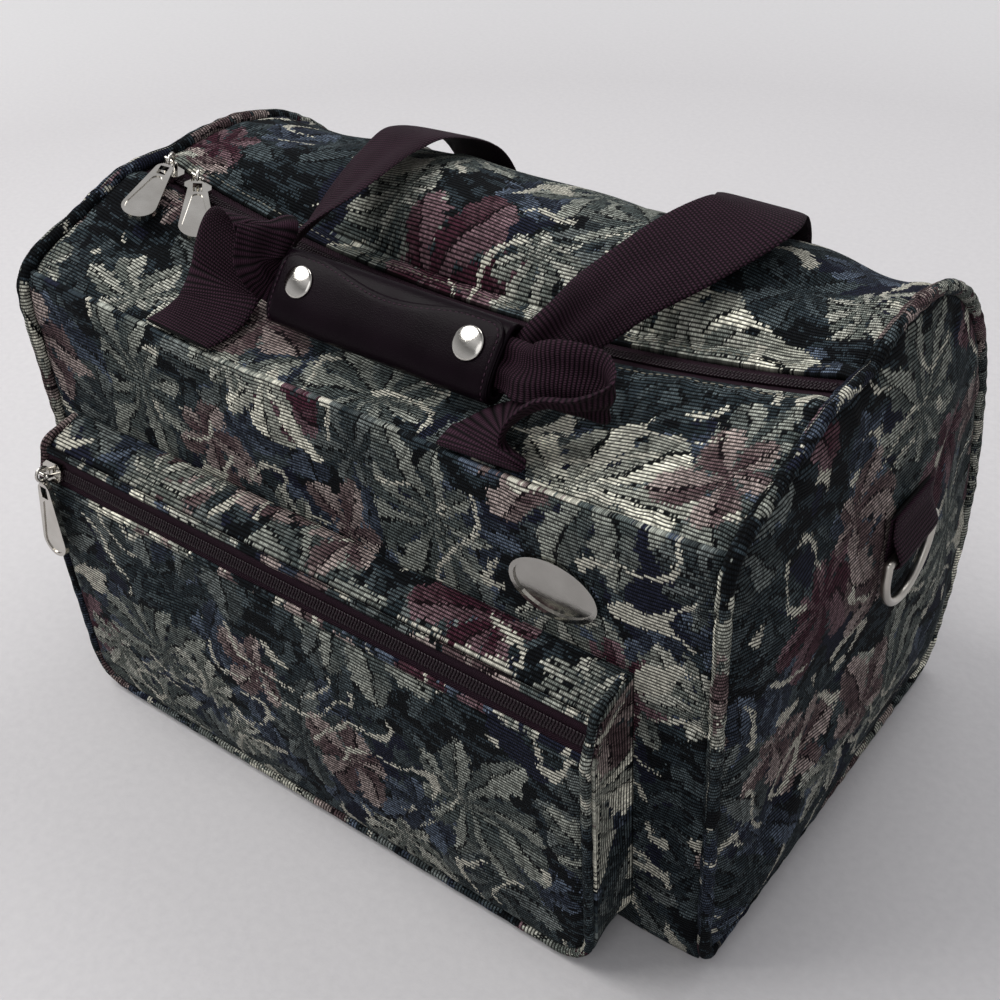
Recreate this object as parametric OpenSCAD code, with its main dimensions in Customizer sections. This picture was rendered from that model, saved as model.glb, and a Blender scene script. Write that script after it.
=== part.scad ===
/* [Bag body] */
// Length between the two piped end seams
bag_l = 368; // [320:1:420]
// Depth of the base, front to back
bag_d = 228; // [200:1:260]
// Height of the seam between the front and the top
front_seam_h = 228; // [210:1:240]
// How far the front leans out at that seam
front_lean = 12; // [4:1:20]
// How far that seam dips at its middle
seam_sag = 5; // [0:1:10]
// Height of the hump behind the zip
crest_h = 257; // [254:1:275]
// How much higher the crest is at the right end, and lower at the left
crest_tilt = 5; // [0:0.5:8]
// Height of the seam between the rear top and the back
rear_seam_h = 172; // [150:1:190]
// How far the back bulges
back_belly = 18; // [6:1:26]
// How far each end bulges
end_bulge = 10; // [4:1:16]
// Thickness of the tapestry with its backing
cloth_t = 2.2; // [1.6:0.1:3]
// Radius of the piping round each end
pipe_r = 3; // [2:0.1:4]
// Thickness of the stiffener in the base
board_t = 3; // [2:0.5:5]

/* [Main zip] */
// Height of the zip tape at the two ends
zip_end_h = 249; // [244:1:252]
// How far the zip sags at its middle
zip_sag = 22; // [12:1:26]
// How far the zip lies ahead of the middle of the bag
zip_ahead = 41; // [30:1:50]
// Half the width of the tape that shows between the panels
tape_show = 8; // [7:0.5:10]
// Thickness of a zip tape
tape_t = 0.9; // [0.6:0.1:1.2]
// Width of the closed coil
coil_w = 6; // [5:0.1:7]
// Height of the closed coil
coil_h = 2; // [1.6:0.1:2.4]
// Where slider A stands, left of the middle
slider_a_left = 170; // [165:1:172]
// Where slider B stands, left of the middle
slider_b_left = 152; // [140:1:153]

/* [Zip sliders and pulls] */
// Length of a slider
slider_l = 13; // [11:0.5:14]
// Width of a slider
slider_w = 9.6; // [9:0.1:12]
// Thickness of a slider's top plate
slider_plate = 1.4; // [1:0.1:2]
// Height of the bail's bar over the tape
bail_h = 8.8; // [8.6:0.1:10]
// Radius of the bail's wire
bail_r = 0.9; // [0.7:0.05:1]
// Radius of the pull's ring, to the middle of its wire
ring_r = 3.4; // [3.2:0.1:3.6]
// Length of a pull from its pivot
pull_l = 46; // [38:1:50]
// Width of a pull at its broad end
pull_w = 16; // [12:0.5:18]
// Thickness of a pull
pull_t = 2.6; // [2:0.1:3]

/* [Front pocket] */
// Width of the pocket
pocket_w = 316; // [280:1:324]
// Height of the seam over the pocket
pocket_h = 158; // [140:1:170]
// Depth of the pocket
pocket_d = 30; // [24:1:40]
// How far the pocket sits left of the middle
pocket_left = 9; // [0:1:12]
// Radius of the pocket's lower corners
pocket_corner = 20; // [12:1:30]
// Radius of the pocket's piping
pocket_pipe_r = 2.2; // [1.6:0.1:3]
// Height of the pocket's zip band
pocket_band = 20; // [18:0.5:24]
// How far the pocket front bulges
pocket_bulge = 4; // [2:0.5:5]

/* [Handles and wrap] */
// Width of the webbing
web_w = 38; // [30:1:42]
// Thickness of the webbing
web_t = 1.8; // [1.4:0.1:2.4]
// Where a handle leg stands, from the middle
leg_x = 78; // [70:1:90]
// Length of the leather wrap
wrap_l = 116; // [100:1:124]
// Width of the leather wrap
wrap_w = 31; // [29:0.5:34]
// Depth of the leather wrap
wrap_d = 13; // [12:0.5:15]
// Thickness of the leather
leather_t = 1.8; // [1.4:0.1:2]
// Radius of a snap cap
snap_r = 7; // [5:0.5:8]

/* [End rings and badge] */
// Width inside a D-ring
dring_w = 41; // [40:1:46]
// Radius of a D-ring's wire
dring_r = 2; // [1.6:0.1:2.4]
// Straight part of a D-ring's legs
dring_leg = 6; // [2:0.5:10]
// Height of a D-ring's bar
dring_h = 160; // [140:1:170]
// Length of the badge
badge_l = 40; // [30:1:46]
// Height of the badge
badge_h = 27; // [20:1:32]

/* [Hidden] */

$fn = 48;
gap = 0.4;
tapestry = "#59605c";
plum = "#3a2230";
aubergine = "#2e1f28";
nickel = "#c9c9c4";

half_l = bag_l / 2;
half_d = bag_d / 2;
panel_x = half_l - pipe_r - gap;
zip_y = -zip_ahead;
flange = 9;
seat_h = gap + cloth_t;
zip_r = (pow(panel_x, 2) + pow(zip_sag, 2)) / (2 * zip_sag);
zip_axis_z = zip_end_h - zip_sag + zip_r;
front_top_y = -half_d - front_lean;
lean_deg = atan(front_lean / front_seam_h);

rows_x = 20;
hump_back = 40;
hump_top = 22;

function zip_z(x) = zip_axis_z - sqrt(pow(zip_r, 2) - pow(x, 2));
function zip_deg(x) = asin(x / zip_r);
function crest_z(t) = crest_h + crest_tilt * t;
function seam_z(t) = front_seam_h - seam_sag * (1 - t * t);
function lerp(a, b, v) = a + (b - a) * v;
function flat(rows) = [for (row = rows) each row];
function unit(a) = a / norm(a);

// Bezier curve through two ends with two handles
function bezier(p, v) =
    pow(1 - v, 3) * p[0] + 3 * pow(1 - v, 2) * v * p[1]
    + 3 * (1 - v) * v * v * p[2] + pow(v, 3) * p[3];

// Cross-section of the bag at the share t of its half length, as [y, z]
function front_pt(t, v) =
    let (z = v * seam_z(t))
    [-half_d - front_lean * z / front_seam_h, z];

function top_pt(t, v) =
    let (
        y0 = front_top_y + cloth_t + 2 * gap,
        y1 = zip_y - tape_show,
        y = lerp(y0, y1, v),
        z1 = zip_z(t * panel_x) + seat_h,
        share = min(1, (y - y0) / (y1 - flange - y0)),
        dip = seam_sag * (1 - t * t) * sin(180 * share)
    )
    [y, lerp(seam_z(t), z1, share) - dip];

function rear_pt(t, v) =
    let (
        y0 = zip_y + tape_show,
        z0 = zip_z(t * panel_x) + seat_h,
        crest = crest_z(t),
        hump = [
            [y0 + flange, z0],
            [y0 + 2.2 * flange, lerp(z0, crest, 1.4)],
            [half_d - hump_back, crest + hump_top],
            [half_d, rear_seam_h + gap]
        ],
        first = 0.08
    )
    v < first ? [y0 + flange * v / first, z0] : bezier(hump, (v - first) / (1 - first));

function back_pt(t, v) =
    [half_d + back_belly * sin(180 * v), lerp(rear_seam_h - gap, 0, v)];

// Outward normal of a section curve, from its two neighbours
function side(a, b) = let (d = unit(b - a)) [-d[1], d[0]];

function section(kind, t, v) =
    kind == "front" ? front_pt(t, v)
    : kind == "top" ? top_pt(t, v)
    : kind == "rear" ? rear_pt(t, v)
    : back_pt(t, v);

function section_normal(kind, t, v, e = 0.02) =
    side(section(kind, t, max(0, v - e)), section(kind, t, min(1, v + e)));

// Point on a panel, lifted off its outer face
function on_panel(kind, x, v, lift = 0) =
    let (
        t = x / panel_x,
        p = section(kind, t, v) + lift * section_normal(kind, t, v)
    )
    [x, p[0], p[1]];

// Faces of a closed sheet of nu by nv points a side, the outer side first
function sheet_faces(nu, nv) =
    let (n = nu * nv)
    concat(
        [for (i = [0:nu - 2], j = [0:nv - 2]) each
            let (a = i * nv + j, b = a + 1, c = a + nv, d = c + 1)
            [[a, b, d], [a, d, c], [n + a, n + d, n + b], [n + a, n + c, n + d]]],
        [for (i = [0:nu - 2], j = [0, nv - 1]) each
            let (a = i * nv + j, c = a + nv, f = j == 0)
            f ? [[a, c, n + c], [a, n + c, n + a]] : [[a, n + c, c], [a, n + a, n + c]]],
        [for (j = [0:nv - 2], i = [0, nu - 1]) each
            let (a = i * nv + j, b = a + 1, f = i == 0)
            f ? [[a, n + b, b], [a, n + a, n + b]] : [[a, b, n + b], [a, n + b, n + a]]]
    );

// Sheet of cloth along the bag, from one section curve
module body_sheet(kind, rows_v) {
    xs = [for (i = [0:rows_x]) lerp(-panel_x, panel_x, i / rows_x)];
    outer = [for (x = xs) [for (j = [0:rows_v]) on_panel(kind, x, j / rows_v)]];
    inner = [for (x = xs) [for (j = [0:rows_v]) on_panel(kind, x, j / rows_v, -cloth_t)]];
    polyhedron(
        points = concat(flat(outer), flat(inner)),
        faces = sheet_faces(rows_x + 1, rows_v + 1)
    );
}

// Corner of an outline, rounded by a short curve
function corner(a, b, c, r) =
    let (p = b + r * unit(a - b), q = b + r * unit(c - b))
    [for (k = [0:3]) let (v = k / 3) lerp(lerp(p, b, v), lerp(b, q, v), v)];

// Closed outline of the end seam at t = 1 or -1 as [y, z], from the front of the base upwards
corner_r = 9;
end_low_front = [-half_d, pipe_r];
end_low_back = [half_d, pipe_r];

function end_outline(t) =
    let (shoulder = front_pt(t, 1))
    concat(
        corner(end_low_back, end_low_front, shoulder, corner_r),
        [for (v = [0.2:0.2:0.8]) front_pt(t, v)],
        corner(front_pt(t, 0.8), shoulder, top_pt(t, 0.5), 2 * corner_r),
        [for (v = [0.4:0.15:1]) top_pt(t, v)],
        [for (v = [0:0.08:0.96]) rear_pt(t, v)],
        [for (v = [0.02:0.12:0.9]) back_pt(t, v)],
        corner(back_pt(t, 0.9), end_low_back, end_low_front, corner_r)
    );

// Outward normals of a closed outline
function outline_normals(p) =
    let (n = len(p))
    [for (i = [0:n - 1]) side(p[(i + n - 1) % n], p[(i + 1) % n])];

// Round tube along the end seam
module end_piping(t) {
    sides = 8;
    outline = end_outline(t);
    normals = outline_normals(outline);
    end_n = len(outline);
    rings = [for (i = [0:end_n - 1]) [for (k = [0:sides - 1])
        let (
            a = 360 * k / sides,
            p = outline[i] + pipe_r * cos(a) * normals[i]
        )
        [half_l + pipe_r * sin(a), p[0], p[1]]]];
    polyhedron(
        points = flat(rings),
        faces = [for (i = [0:end_n - 1], k = [0:sides - 1]) each
            let (
                i2 = (i + 1) % end_n,
                k2 = (k + 1) % sides,
                a = i * sides + k,
                b = i * sides + k2,
                c = i2 * sides + k,
                d = i2 * sides + k2
            )
            [[a, c, d], [a, d, b]]]
    );
}

// Bulging panel inside the end piping
module end_panel(t) {
    rings = 6;
    outline = end_outline(t);
    normals = outline_normals(outline);
    end_n = len(outline);
    middle = [0, 0.52 * front_seam_h];
    rim = [for (i = [0:end_n - 1]) outline[i] - (pipe_r + gap) * normals[i]];
    function skin(dx) = concat(
        [for (k = [0:rings - 1]) each
            let (f = 1 - k / rings)
            [for (p = rim) let (q = lerp(middle, p, f)) [half_l + dx + end_bulge * (1 - pow(f, 4)), q[0], q[1]]]],
        [[half_l + dx + end_bulge, middle[0], middle[1]]]
    );
    n = rings * end_n + 1;
    last = (rings - 1) * end_n;
    polyhedron(
        points = concat(skin(cloth_t / 2), skin(-cloth_t / 2)),
        faces = concat(
            [for (k = [0:rings - 2], i = [0:end_n - 1]) each
                let (i2 = (i + 1) % end_n, a = k * end_n + i, b = k * end_n + i2, c = a + end_n, d = b + end_n)
                [[a, b, d], [a, d, c], [n + a, n + d, n + b], [n + a, n + c, n + d]]],
            [for (i = [0:end_n - 1]) each
                let (i2 = (i + 1) % end_n)
                [[last + i, last + i2, n - 1], [n + last + i, 2 * n - 1, n + last + i2],
                 [i, n + i, n + i2], [i, n + i2, i2]]]
        )
    );
}

// Curved strip along the sagging zip: its profile is drawn as [depth under the tape, distance to the front]
module along_zip(end_gap) {
    reach = zip_deg(panel_x - end_gap);
    translate([0, zip_y, zip_axis_z])
        rotate([90, 0, 0])
            rotate([0, 0, -90 - reach])
                rotate_extrude(angle = 2 * reach, $fn = 360)
                    translate([zip_r, 0])
                        children();
}

// Places a piece on the sagging zip, x away from the middle
module at_zip(x) {
    translate([0, zip_y, zip_axis_z])
        rotate([0, -zip_deg(x), 0])
            translate([0, 0, -zip_r])
                children();
}

// Section of the closed coil, flat on its tape
module coil_section() {
    r = coil_h / 2;
    union() {
        translate([-coil_h - gap / 4, -coil_w / 2 + r])
            square([coil_h, coil_w - coil_h]);
        for (s = [-1, 1])
            translate([-r - gap / 4, s * (coil_w / 2 - r)])
                circle(r, $fn = 16);
    }
}

// Slider on its zip: x runs along the zip and z stands off the tape
module zip_slider() {
    base_z = gap;
    roof_z = coil_h + gap;
    top_z = roof_z + slider_plate;
    channel = coil_w + 2 * gap;
    nose = slider_w / 4;
    bail_x = ring_r;
    difference() {
        translate([0, 0, base_z])
            linear_extrude(top_z - base_z)
                polygon([
                    [-slider_l / 2, -slider_w / 2 + nose], [-slider_l / 2 + nose, -slider_w / 2],
                    [slider_l / 2 - nose, -slider_w / 2], [slider_l / 2, -slider_w / 2 + nose],
                    [slider_l / 2, slider_w / 2 - nose], [slider_l / 2 - nose, slider_w / 2],
                    [-slider_l / 2 + nose, slider_w / 2], [-slider_l / 2, slider_w / 2 - nose]
                ]);
        translate([-slider_l, -channel / 2, 0])
            cube([2 * slider_l, channel, roof_z]);
    }
    for (s = [-1, 1]) {
        translate([s * bail_x, 0, top_z - slider_plate / 2])
            cylinder(r = bail_r, h = bail_h - top_z + slider_plate / 2);
        translate([s * bail_x, 0, bail_h])
            sphere(bail_r);
    }
    translate([0, 0, bail_h])
        rotate([0, 90, 0])
            cylinder(r = bail_r, h = 2 * bail_x, center = true);
}

// Drop shape from one circle to a larger one
module drop_shape(x1, r1, x2, r2) {
    n = 14;
    turn = 90 + asin((r2 - r1) / (x2 - x1));
    polygon(concat(
        [for (i = [0:n]) let (a = lerp(-turn, turn, i / n)) [x2 + r2 * cos(a), r2 * sin(a)]],
        [for (i = [0:n]) let (a = lerp(turn, 360 - turn, i / n)) [x1 + r1 * cos(a), r1 * sin(a)]]
    ));
}

// Pull on its pivot: it lies along x and turns about y
pull_wire = 0.24 * ring_r;
eye_r = pull_w / 4 + pull_wire / 4;
eye_x = ring_r + pull_wire + eye_r + gap;
slot_w = 0.27 * pull_w;
slot_end = eye_x + eye_r;
pull_rim = 0.1 * pull_w;
field_t = 0.2 * pull_t;

module zip_pull() {
    broad_r = pull_w / 2;
    broad_x = pull_l - broad_r;
    neck_x = eye_x - eye_r + pull_wire;
    neck_w = 1.5 * pull_wire;
    field_r = eye_r - pull_rim;
    field_x = slot_end + pull_rim + field_r;
    rotate([90, 0, 0])
        rotate_extrude()
            translate([ring_r, 0])
                circle(pull_wire, $fn = 24);
    translate([ring_r, -neck_w / 2, -neck_w / 2])
        cube([neck_x - ring_r, neck_w, neck_w]);
    difference() {
        translate([0, 0, -pull_t / 2])
            linear_extrude(pull_t)
                drop_shape(eye_x, eye_r, broad_x, broad_r);
        translate([eye_x - eye_r / 2, -slot_w / 2, -pull_t])
            cube([slot_end - eye_x + eye_r / 2, slot_w, 2 * pull_t]);
        for (z = [-pull_t / 2 - field_t, pull_t / 2 - field_t])
            translate([0, 0, z])
                linear_extrude(2 * field_t)
                    drop_shape(field_x, field_r, broad_x, broad_r - pull_rim);
    }
}

// Turns a pull about the bail and lays it down
module pull_on_bail(turn, drop) {
    translate([0, 0, bail_h])
        rotate([0, 0, -turn])
            rotate([0, drop, 0])
                zip_pull();
}

pull_a_turn = 65;
pull_b_turn = 45;
pull_rest = 6;
front_slope = (zip_end_h + seat_h - front_seam_h) / (half_d + front_lean - zip_ahead);

// How far a turned pull drops: less where the front rises ahead of the zip
function pull_drop(turn) = pull_rest + min(0, atan(front_slope * sin(turn)));

pocket_pull_drop = 15;

// Frame on the leaning front: x along the bag, y out of it and z up its face
module on_front() {
    translate([0, -half_d, 0])
        rotate([lean_deg, 0, 0])
            mirror([0, 1, 0])
                children();
}

pocket_x0 = -pocket_left - pocket_w / 2;
pocket_x1 = -pocket_left + pocket_w / 2;
pocket_low = pocket_pipe_r + pocket_d * sin(lean_deg);
strip_drop = 6;
strip_in = 7;
band_top = pocket_h - strip_drop;
band_deg = asin(strip_in / pocket_band);
band_low = band_top - pocket_band * cos(band_deg);
pocket_tape_w = pocket_band / 2 - gap;
pocket_slider_x0 = pocket_x0 + 12;

// Outline of the pocket front, square at the top, inset from its edge
module pocket_outline(inset, top) {
    r = pocket_corner - inset;
    x0 = pocket_x0 + inset;
    x1 = pocket_x1 - inset;
    z0 = pocket_low + inset;
    union() {
        translate([x0, z0 + r])
            square([x1 - x0, top - z0 - r]);
        translate([x0 + r, z0])
            square([x1 - x0 - 2 * r, 2 * r]);
        for (x = [x0 + r, x1 - r])
            translate([x, z0 + r])
                circle(r);
    }
}

// Frame of the pocket's zip: x along it, z out of the tape and y up, with its coil at the origin
module on_pocket_zip(x = 0) {
    on_front()
        translate([x, pocket_d - strip_in / 2, band_top - pocket_band * cos(band_deg) / 2])
            rotate([band_deg, 0, 0])
                mirror([0, 1, 0])
                    rotate([90, 0, 0])
                        children();
}

module front_panel() {
    color(tapestry)
        body_sheet("front", 4);
}

module front_top_panel() {
    color(tapestry)
        body_sheet("top", 8);
}

module rear_top_panel() {
    color(tapestry)
        body_sheet("rear", 16);
}

module back_panel() {
    color(tapestry)
        body_sheet("back", 8);
}

module base_panel() {
    y0 = -half_d + cloth_t + 2 * gap;
    color(tapestry)
        translate([-panel_x, y0, 0])
            cube([2 * panel_x, 2 * -y0, cloth_t]);
}

module base_board() {
    rim = 8;
    color("#2b2826")
        translate([-panel_x + rim, -half_d + rim, cloth_t + gap / 2])
            cube([2 * (panel_x - rim), 2 * (half_d - rim), board_t]);
}

module right_end_panel() {
    color(tapestry)
        end_panel(1);
}

module left_end_panel() {
    color(tapestry)
        mirror([1, 0, 0])
            end_panel(-1);
}

module right_end_piping() {
    color(tapestry)
        end_piping(1);
}

module left_end_piping() {
    color(tapestry)
        mirror([1, 0, 0])
            end_piping(-1);
}

tape_edge = 1.2;
tape_w = tape_show + flange - 2;

module front_zip_tape() {
    color(plum)
        along_zip(gap)
            translate([0, tape_edge])
                square([tape_t, tape_w - tape_edge]);
}

module rear_zip_tape() {
    color(plum)
        along_zip(gap)
            translate([0, -tape_w])
                square([tape_t, tape_w - tape_edge]);
}

module main_zip_coil() {
    color(plum)
        along_zip(2)
            coil_section();
}

module main_slider_a() {
    color(nickel)
        at_zip(-slider_a_left)
            zip_slider();
}

module main_pull_a() {
    color(nickel)
        at_zip(-slider_a_left)
            pull_on_bail(pull_a_turn, pull_drop(pull_a_turn));
}

module main_slider_b() {
    color(nickel)
        at_zip(-slider_b_left)
            zip_slider();
}

module main_pull_b() {
    color(nickel)
        at_zip(-slider_b_left)
            pull_on_bail(pull_b_turn, pull_drop(pull_b_turn));
}

module pocket_front_panel() {
    inset = 2 * pocket_pipe_r + gap;
    nu = 17;
    nv = 9;
    x0 = pocket_x0 + inset;
    x1 = pocket_x1 - inset;
    z0 = pocket_low + inset;
    z1 = band_low - gap;
    round_r = pocket_corner - inset;
    function foot(x) =
        let (e = max(0, round_r - min(x - x0, x1 - x)))
        z0 + round_r - sqrt(pow(round_r, 2) - pow(e, 2));
    function share(i) = let (a = i / (nu - 1)) (1 - cos(180 * a)) / 2;
    function skin(dy) = [for (i = [0:nu - 1]) [for (j = [0:nv - 1])
        let (
            u = share(i),
            v = j / (nv - 1),
            x = lerp(x0, x1, u),
            puff = pocket_bulge * sqrt(sin(180 * u)) * sin(180 * v)
        )
        [x, pocket_d + dy + puff, lerp(foot(x), z1, v)]]];
    color(tapestry)
        on_front()
            polyhedron(
                points = concat(flat(skin(-cloth_t / 2)), flat(skin(cloth_t / 2))),
                faces = sheet_faces(nu, nv)
            );
}

// Point behind the pocket's zip tapes as [distance out, height], a share of their height from the coil
function behind_tape(share) =
    let (back = tape_t + gap, y = share * pocket_band)
    [
        pocket_d - strip_in / 2 - back * cos(band_deg) - y * sin(band_deg),
        (band_top + band_low) / 2 - back * sin(band_deg) + y * cos(band_deg)
    ];

module pocket_gusset() {
    wall = pocket_d - pocket_pipe_r - 2 * gap;
    cheek = [
        [gap, band_low - cloth_t], [gap + wall, band_low - cloth_t],
        behind_tape(-0.31), behind_tape(0.38), [gap, pocket_h - cloth_t - gap]
    ];
    color(tapestry)
        on_front() {
            translate([0, gap + wall, 0])
                rotate([90, 0, 0])
                    linear_extrude(wall)
                        difference() {
                            pocket_outline(0, band_low);
                            pocket_outline(cloth_t, band_low + cloth_t);
                        }
            for (x = [pocket_x0, pocket_x1 - cloth_t])
                translate([x, 0, 0])
                    rotate([90, 0, 90])
                        linear_extrude(cloth_t)
                            polygon(cheek);
        }
}

module pocket_top_strip() {
    y1 = pocket_d - strip_in - tape_t - gap;
    color(tapestry)
        on_front()
            translate([pocket_x0, 0, 0])
                rotate([90, 0, 90])
                    linear_extrude(pocket_w)
                        polygon([
                            [gap, pocket_h], [y1, band_top + gap],
                            [y1, band_top + gap - cloth_t], [gap, pocket_h - cloth_t]
                        ]);
}

module pocket_piping() {
    r = pocket_corner - pocket_pipe_r;
    x0 = pocket_x0 + pocket_pipe_r;
    x1 = pocket_x1 - pocket_pipe_r;
    z0 = pocket_low + pocket_pipe_r;
    color(tapestry)
        on_front()
            translate([0, pocket_d, 0]) {
                for (x = [x0, x1])
                    translate([x, 0, z0 + r])
                        cylinder(r = pocket_pipe_r, h = band_low - z0 - r);
                translate([x0 + r, 0, z0])
                    rotate([0, 90, 0])
                        cylinder(r = pocket_pipe_r, h = x1 - x0 - 2 * r);
                for (c = [[x0 + r, 180], [x1 - r, 270]])
                    translate([c[0], 0, z0 + r])
                        rotate([90, 0, 0])
                            rotate([0, 0, c[1]])
                                rotate_extrude(angle = 90)
                                    translate([r, 0])
                                        circle(pocket_pipe_r);
            }
}

module pocket_tape(y0) {
    translate([pocket_x0, y0, -tape_t])
        cube([pocket_w, pocket_tape_w - tape_edge / 2, tape_t]);
}

module pocket_upper_tape() {
    color(plum)
        on_pocket_zip()
            pocket_tape(tape_edge / 2);
}

module pocket_lower_tape() {
    color(plum)
        on_pocket_zip()
            pocket_tape(-pocket_tape_w);
}

module pocket_zip_coil() {
    color(plum)
        on_pocket_zip(-pocket_left)
            rotate([0, -90, 0])
                linear_extrude(pocket_w - 4, center = true)
                    mirror([1, 0, 0])
                        coil_section();
}

module pocket_slider() {
    color(nickel)
        on_pocket_zip(pocket_slider_x0)
            zip_slider();
}

module pocket_pull() {
    color(nickel)
        on_pocket_zip(pocket_slider_x0)
            pull_on_bail(90, pocket_pull_drop);
}

// Smooth curve through points, with steps between each two
function spline(p, steps) =
    let (n = len(p))
    concat(
        [for (i = [0:n - 2], k = [0:steps - 1])
            let (
                a = p[max(0, i - 1)],
                b = p[i],
                c = p[i + 1],
                d = p[min(n - 1, i + 2)],
                v = k / steps
            )
            0.5 * (2 * b + (c - a) * v + (2 * a - 5 * b + 4 * c - d) * v * v
                + (3 * b - a - 3 * c + d) * v * v * v)],
        [p[n - 1]]
    );

// Flat webbing along a route of [point, direction of its width, width, thickness]
module webbing(route, steps = 3) {
    mid = spline([for (s = route) s[0]], steps);
    wide = spline([for (s = route) s[1]], steps);
    sizes = spline([for (s = route) [s[2], s[3]]], steps);
    n = len(mid);
    rings = [for (i = [0:n - 1])
        let (
            run = unit(mid[min(n - 1, i + 1)] - mid[max(0, i - 1)]),
            w = unit(wide[i] - (wide[i] * run) * run),
            up = cross(w, run),
            a = w * sizes[i][0] / 2,
            b = up * sizes[i][1] / 2
        )
        [mid[i] - a - b, mid[i] + a - b, mid[i] + a + b, mid[i] - a + b]];
    polyhedron(
        points = flat(rings),
        faces = concat(
            [for (i = [0:n - 2], k = [0:3]) each
                let (k2 = (k + 1) % 4, a = 4 * i + k, b = 4 * i + k2)
                [[a, b + 4, a + 4], [a, b, b + 4]]],
            [[0, 2, 1], [0, 3, 2]],
            [[4 * n - 4, 4 * n - 3, 4 * n - 2], [4 * n - 4, 4 * n - 2, 4 * n - 1]]
        )
    );
}

// The wrap leans with its lower edge on the front slope
wrap_x = 8;
wrap_deg = 52;
wrap_y = zip_y - 46;
wrap_z = front_seam_h + 16;
wrap_in_w = wrap_w - 2 * leather_t;
wrap_in_d = wrap_d - 2 * leather_t;
strand_gap = 2.4;
strand_t = wrap_in_d / 2 - gap - strand_gap / 2;
strand_w = wrap_in_w - 7;
strand_off = (wrap_in_d - strand_t) / 2 - gap;
wrap_dir = [0, cos(wrap_deg), sin(wrap_deg)];
wrap_out = [0, -sin(wrap_deg), cos(wrap_deg)];

function in_wrap(x, off) = [wrap_x + x, wrap_y, wrap_z] + off * wrap_out;
function strand(x, off) = [in_wrap(x, off), wrap_dir, strand_w, strand_t];
function strap(point, wide) = [point, wide, web_w, web_t];
function gather(point, wide, share) = [point, wide, share * web_w, (web_t + strand_t) / 2];

web_lift = gap + web_t / 2;
leg_left = 5;
wrap_end = wrap_l / 2;
strand_end = wrap_end + 0.08 * web_w;

// Direction across a strap that lies on a panel
function across(kind, x, v) = unit(on_panel(kind, x + web_w / 2, v) - on_panel(kind, x - web_w / 2, v));

// Station of a strap over a panel, lifted some thicknesses off its seat, with its first face up or down
function leg(kind, x, v, lift, s = 1) =
    strap(on_panel(kind, x, v, web_lift + lift * web_t), s * across(kind, x, v));

// The stretch of a handle inside the wrap
function strands(off) = [for (e = [-strand_end, -0.75 * wrap_end, 0, 0.75 * wrap_end, strand_end]) strand(e, off)];

module front_handle() {
    off = strand_off;
    left = in_wrap(-wrap_end, off);
    right = in_wrap(wrap_end, off);
    route = concat(
        [
            leg("top", -leg_x - leg_left, 0.02, 0.3),
            leg("top", -leg_x - leg_left, 0.2, 0.6),
            leg("top", -leg_x - 1.4 * leg_left, 0.37, 1.4),
            strap(left + web_w * [-0.97, 0.05, -0.29], [0.95, 0.12, -0.2]),
            strap(left + web_w * [-0.78, 0.07, 0.12], [0.87, 0.1, -0.42]),
            gather(left + web_w * [-0.48, 0.1, 0.48], [0.75, 0.5, -0.35], 0.85),
            gather(left + web_w * [-0.2, 0.08, 0.58], [0.3, 0.9, 0], 0.72),
            gather(left + web_w * [-0.17, -0.11, 0.25], [0.2, 0.75, 0.6], 0.58)
        ],
        strands(off),
        [
            gather(right + web_w * [0.34, -0.08, 0.03], wrap_dir, 0.6),
            gather(right + web_w * [0.7, 0.02, 0.08], [0, 0.35, 1], 0.68),
            gather(right + web_w * [1.08, 0.1, 0.06], [0, 0.2, 1], 0.66),
            gather(right + web_w * [1.29, -0.06, 0.02], [0.25, -0.2, 0.95], 0.62),
            gather(right + web_w * [1.09, -0.27, 0], [0.3, -0.65, 0.7], 0.62),
            gather(right + web_w * [0.74, -0.38, -0.05], [0.4, -0.7, 0.6], 0.68),
            strap(on_panel("top", leg_x + 0.08 * web_w, 0.2, web_lift + 5 * web_t), [0.8, -0.45, 0.45]),
            leg("top", leg_x, 0.1, 1.3),
            leg("top", leg_x, 0.02, 0.3)
        ]
    );
    color(plum)
        webbing(route);
}

module rear_handle() {
    off = -strand_off;
    left = in_wrap(-wrap_end, off);
    right = in_wrap(wrap_end, off);
    over_left = [-leg_x, 0, crest_h];
    over_right = [leg_x, 0, crest_h];
    route = concat(
        [
            leg("rear", -leg_x, 0.99, 0.3),
            leg("rear", -leg_x, 0.86, 1.4),
            leg("rear", -leg_x + 0.13 * web_w, 0.7, 4),
            leg("rear", -leg_x + 0.24 * web_w, 0.5, 6),
            gather(over_left + web_w * [0.26, 0.05, 0.28], [0.95, 0.1, 0.2], 0.87),
            gather(over_left + web_w * [0.36, -0.87, 0.1], [0.85, 0.05, 0.4], 0.79),
            gather(left + web_w * [-0.34, 0.37, 0.18], [0.45, 0.3, 0.8], 0.68)
        ],
        strands(off),
        [
            gather(right + web_w * [0.37, 0.4, 0.29], [-0.4, 0.2, 0.85], 0.66),
            gather(over_right + web_w * [0.16, -0.98, 0.05], [-0.82, 0.12, 0.45], 0.82),
            strap(over_right + web_w * [0.55, -0.2, 0.34], [-0.93, 0.1, 0.3]),
            strap(over_right + web_w * [0.8, 0.55, 0.46], [-0.97, 0.05, 0.2]),
            leg("rear", leg_x + 0.6 * web_w, 0.58, 6.5, -1),
            leg("rear", leg_x + 0.32 * web_w, 0.74, 3.8, -1),
            leg("rear", leg_x + 0.1 * web_w, 0.87, 1.4, -1),
            leg("rear", leg_x, 0.99, 0.3, -1)
        ]
    );
    color(plum)
        webbing(route);
}

// Frame of the wrap: x along it, y across its width and z out of its face
module on_wrap() {
    translate([wrap_x, wrap_y, wrap_z])
        rotate([wrap_deg, 0, 0])
            children();
}

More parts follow.
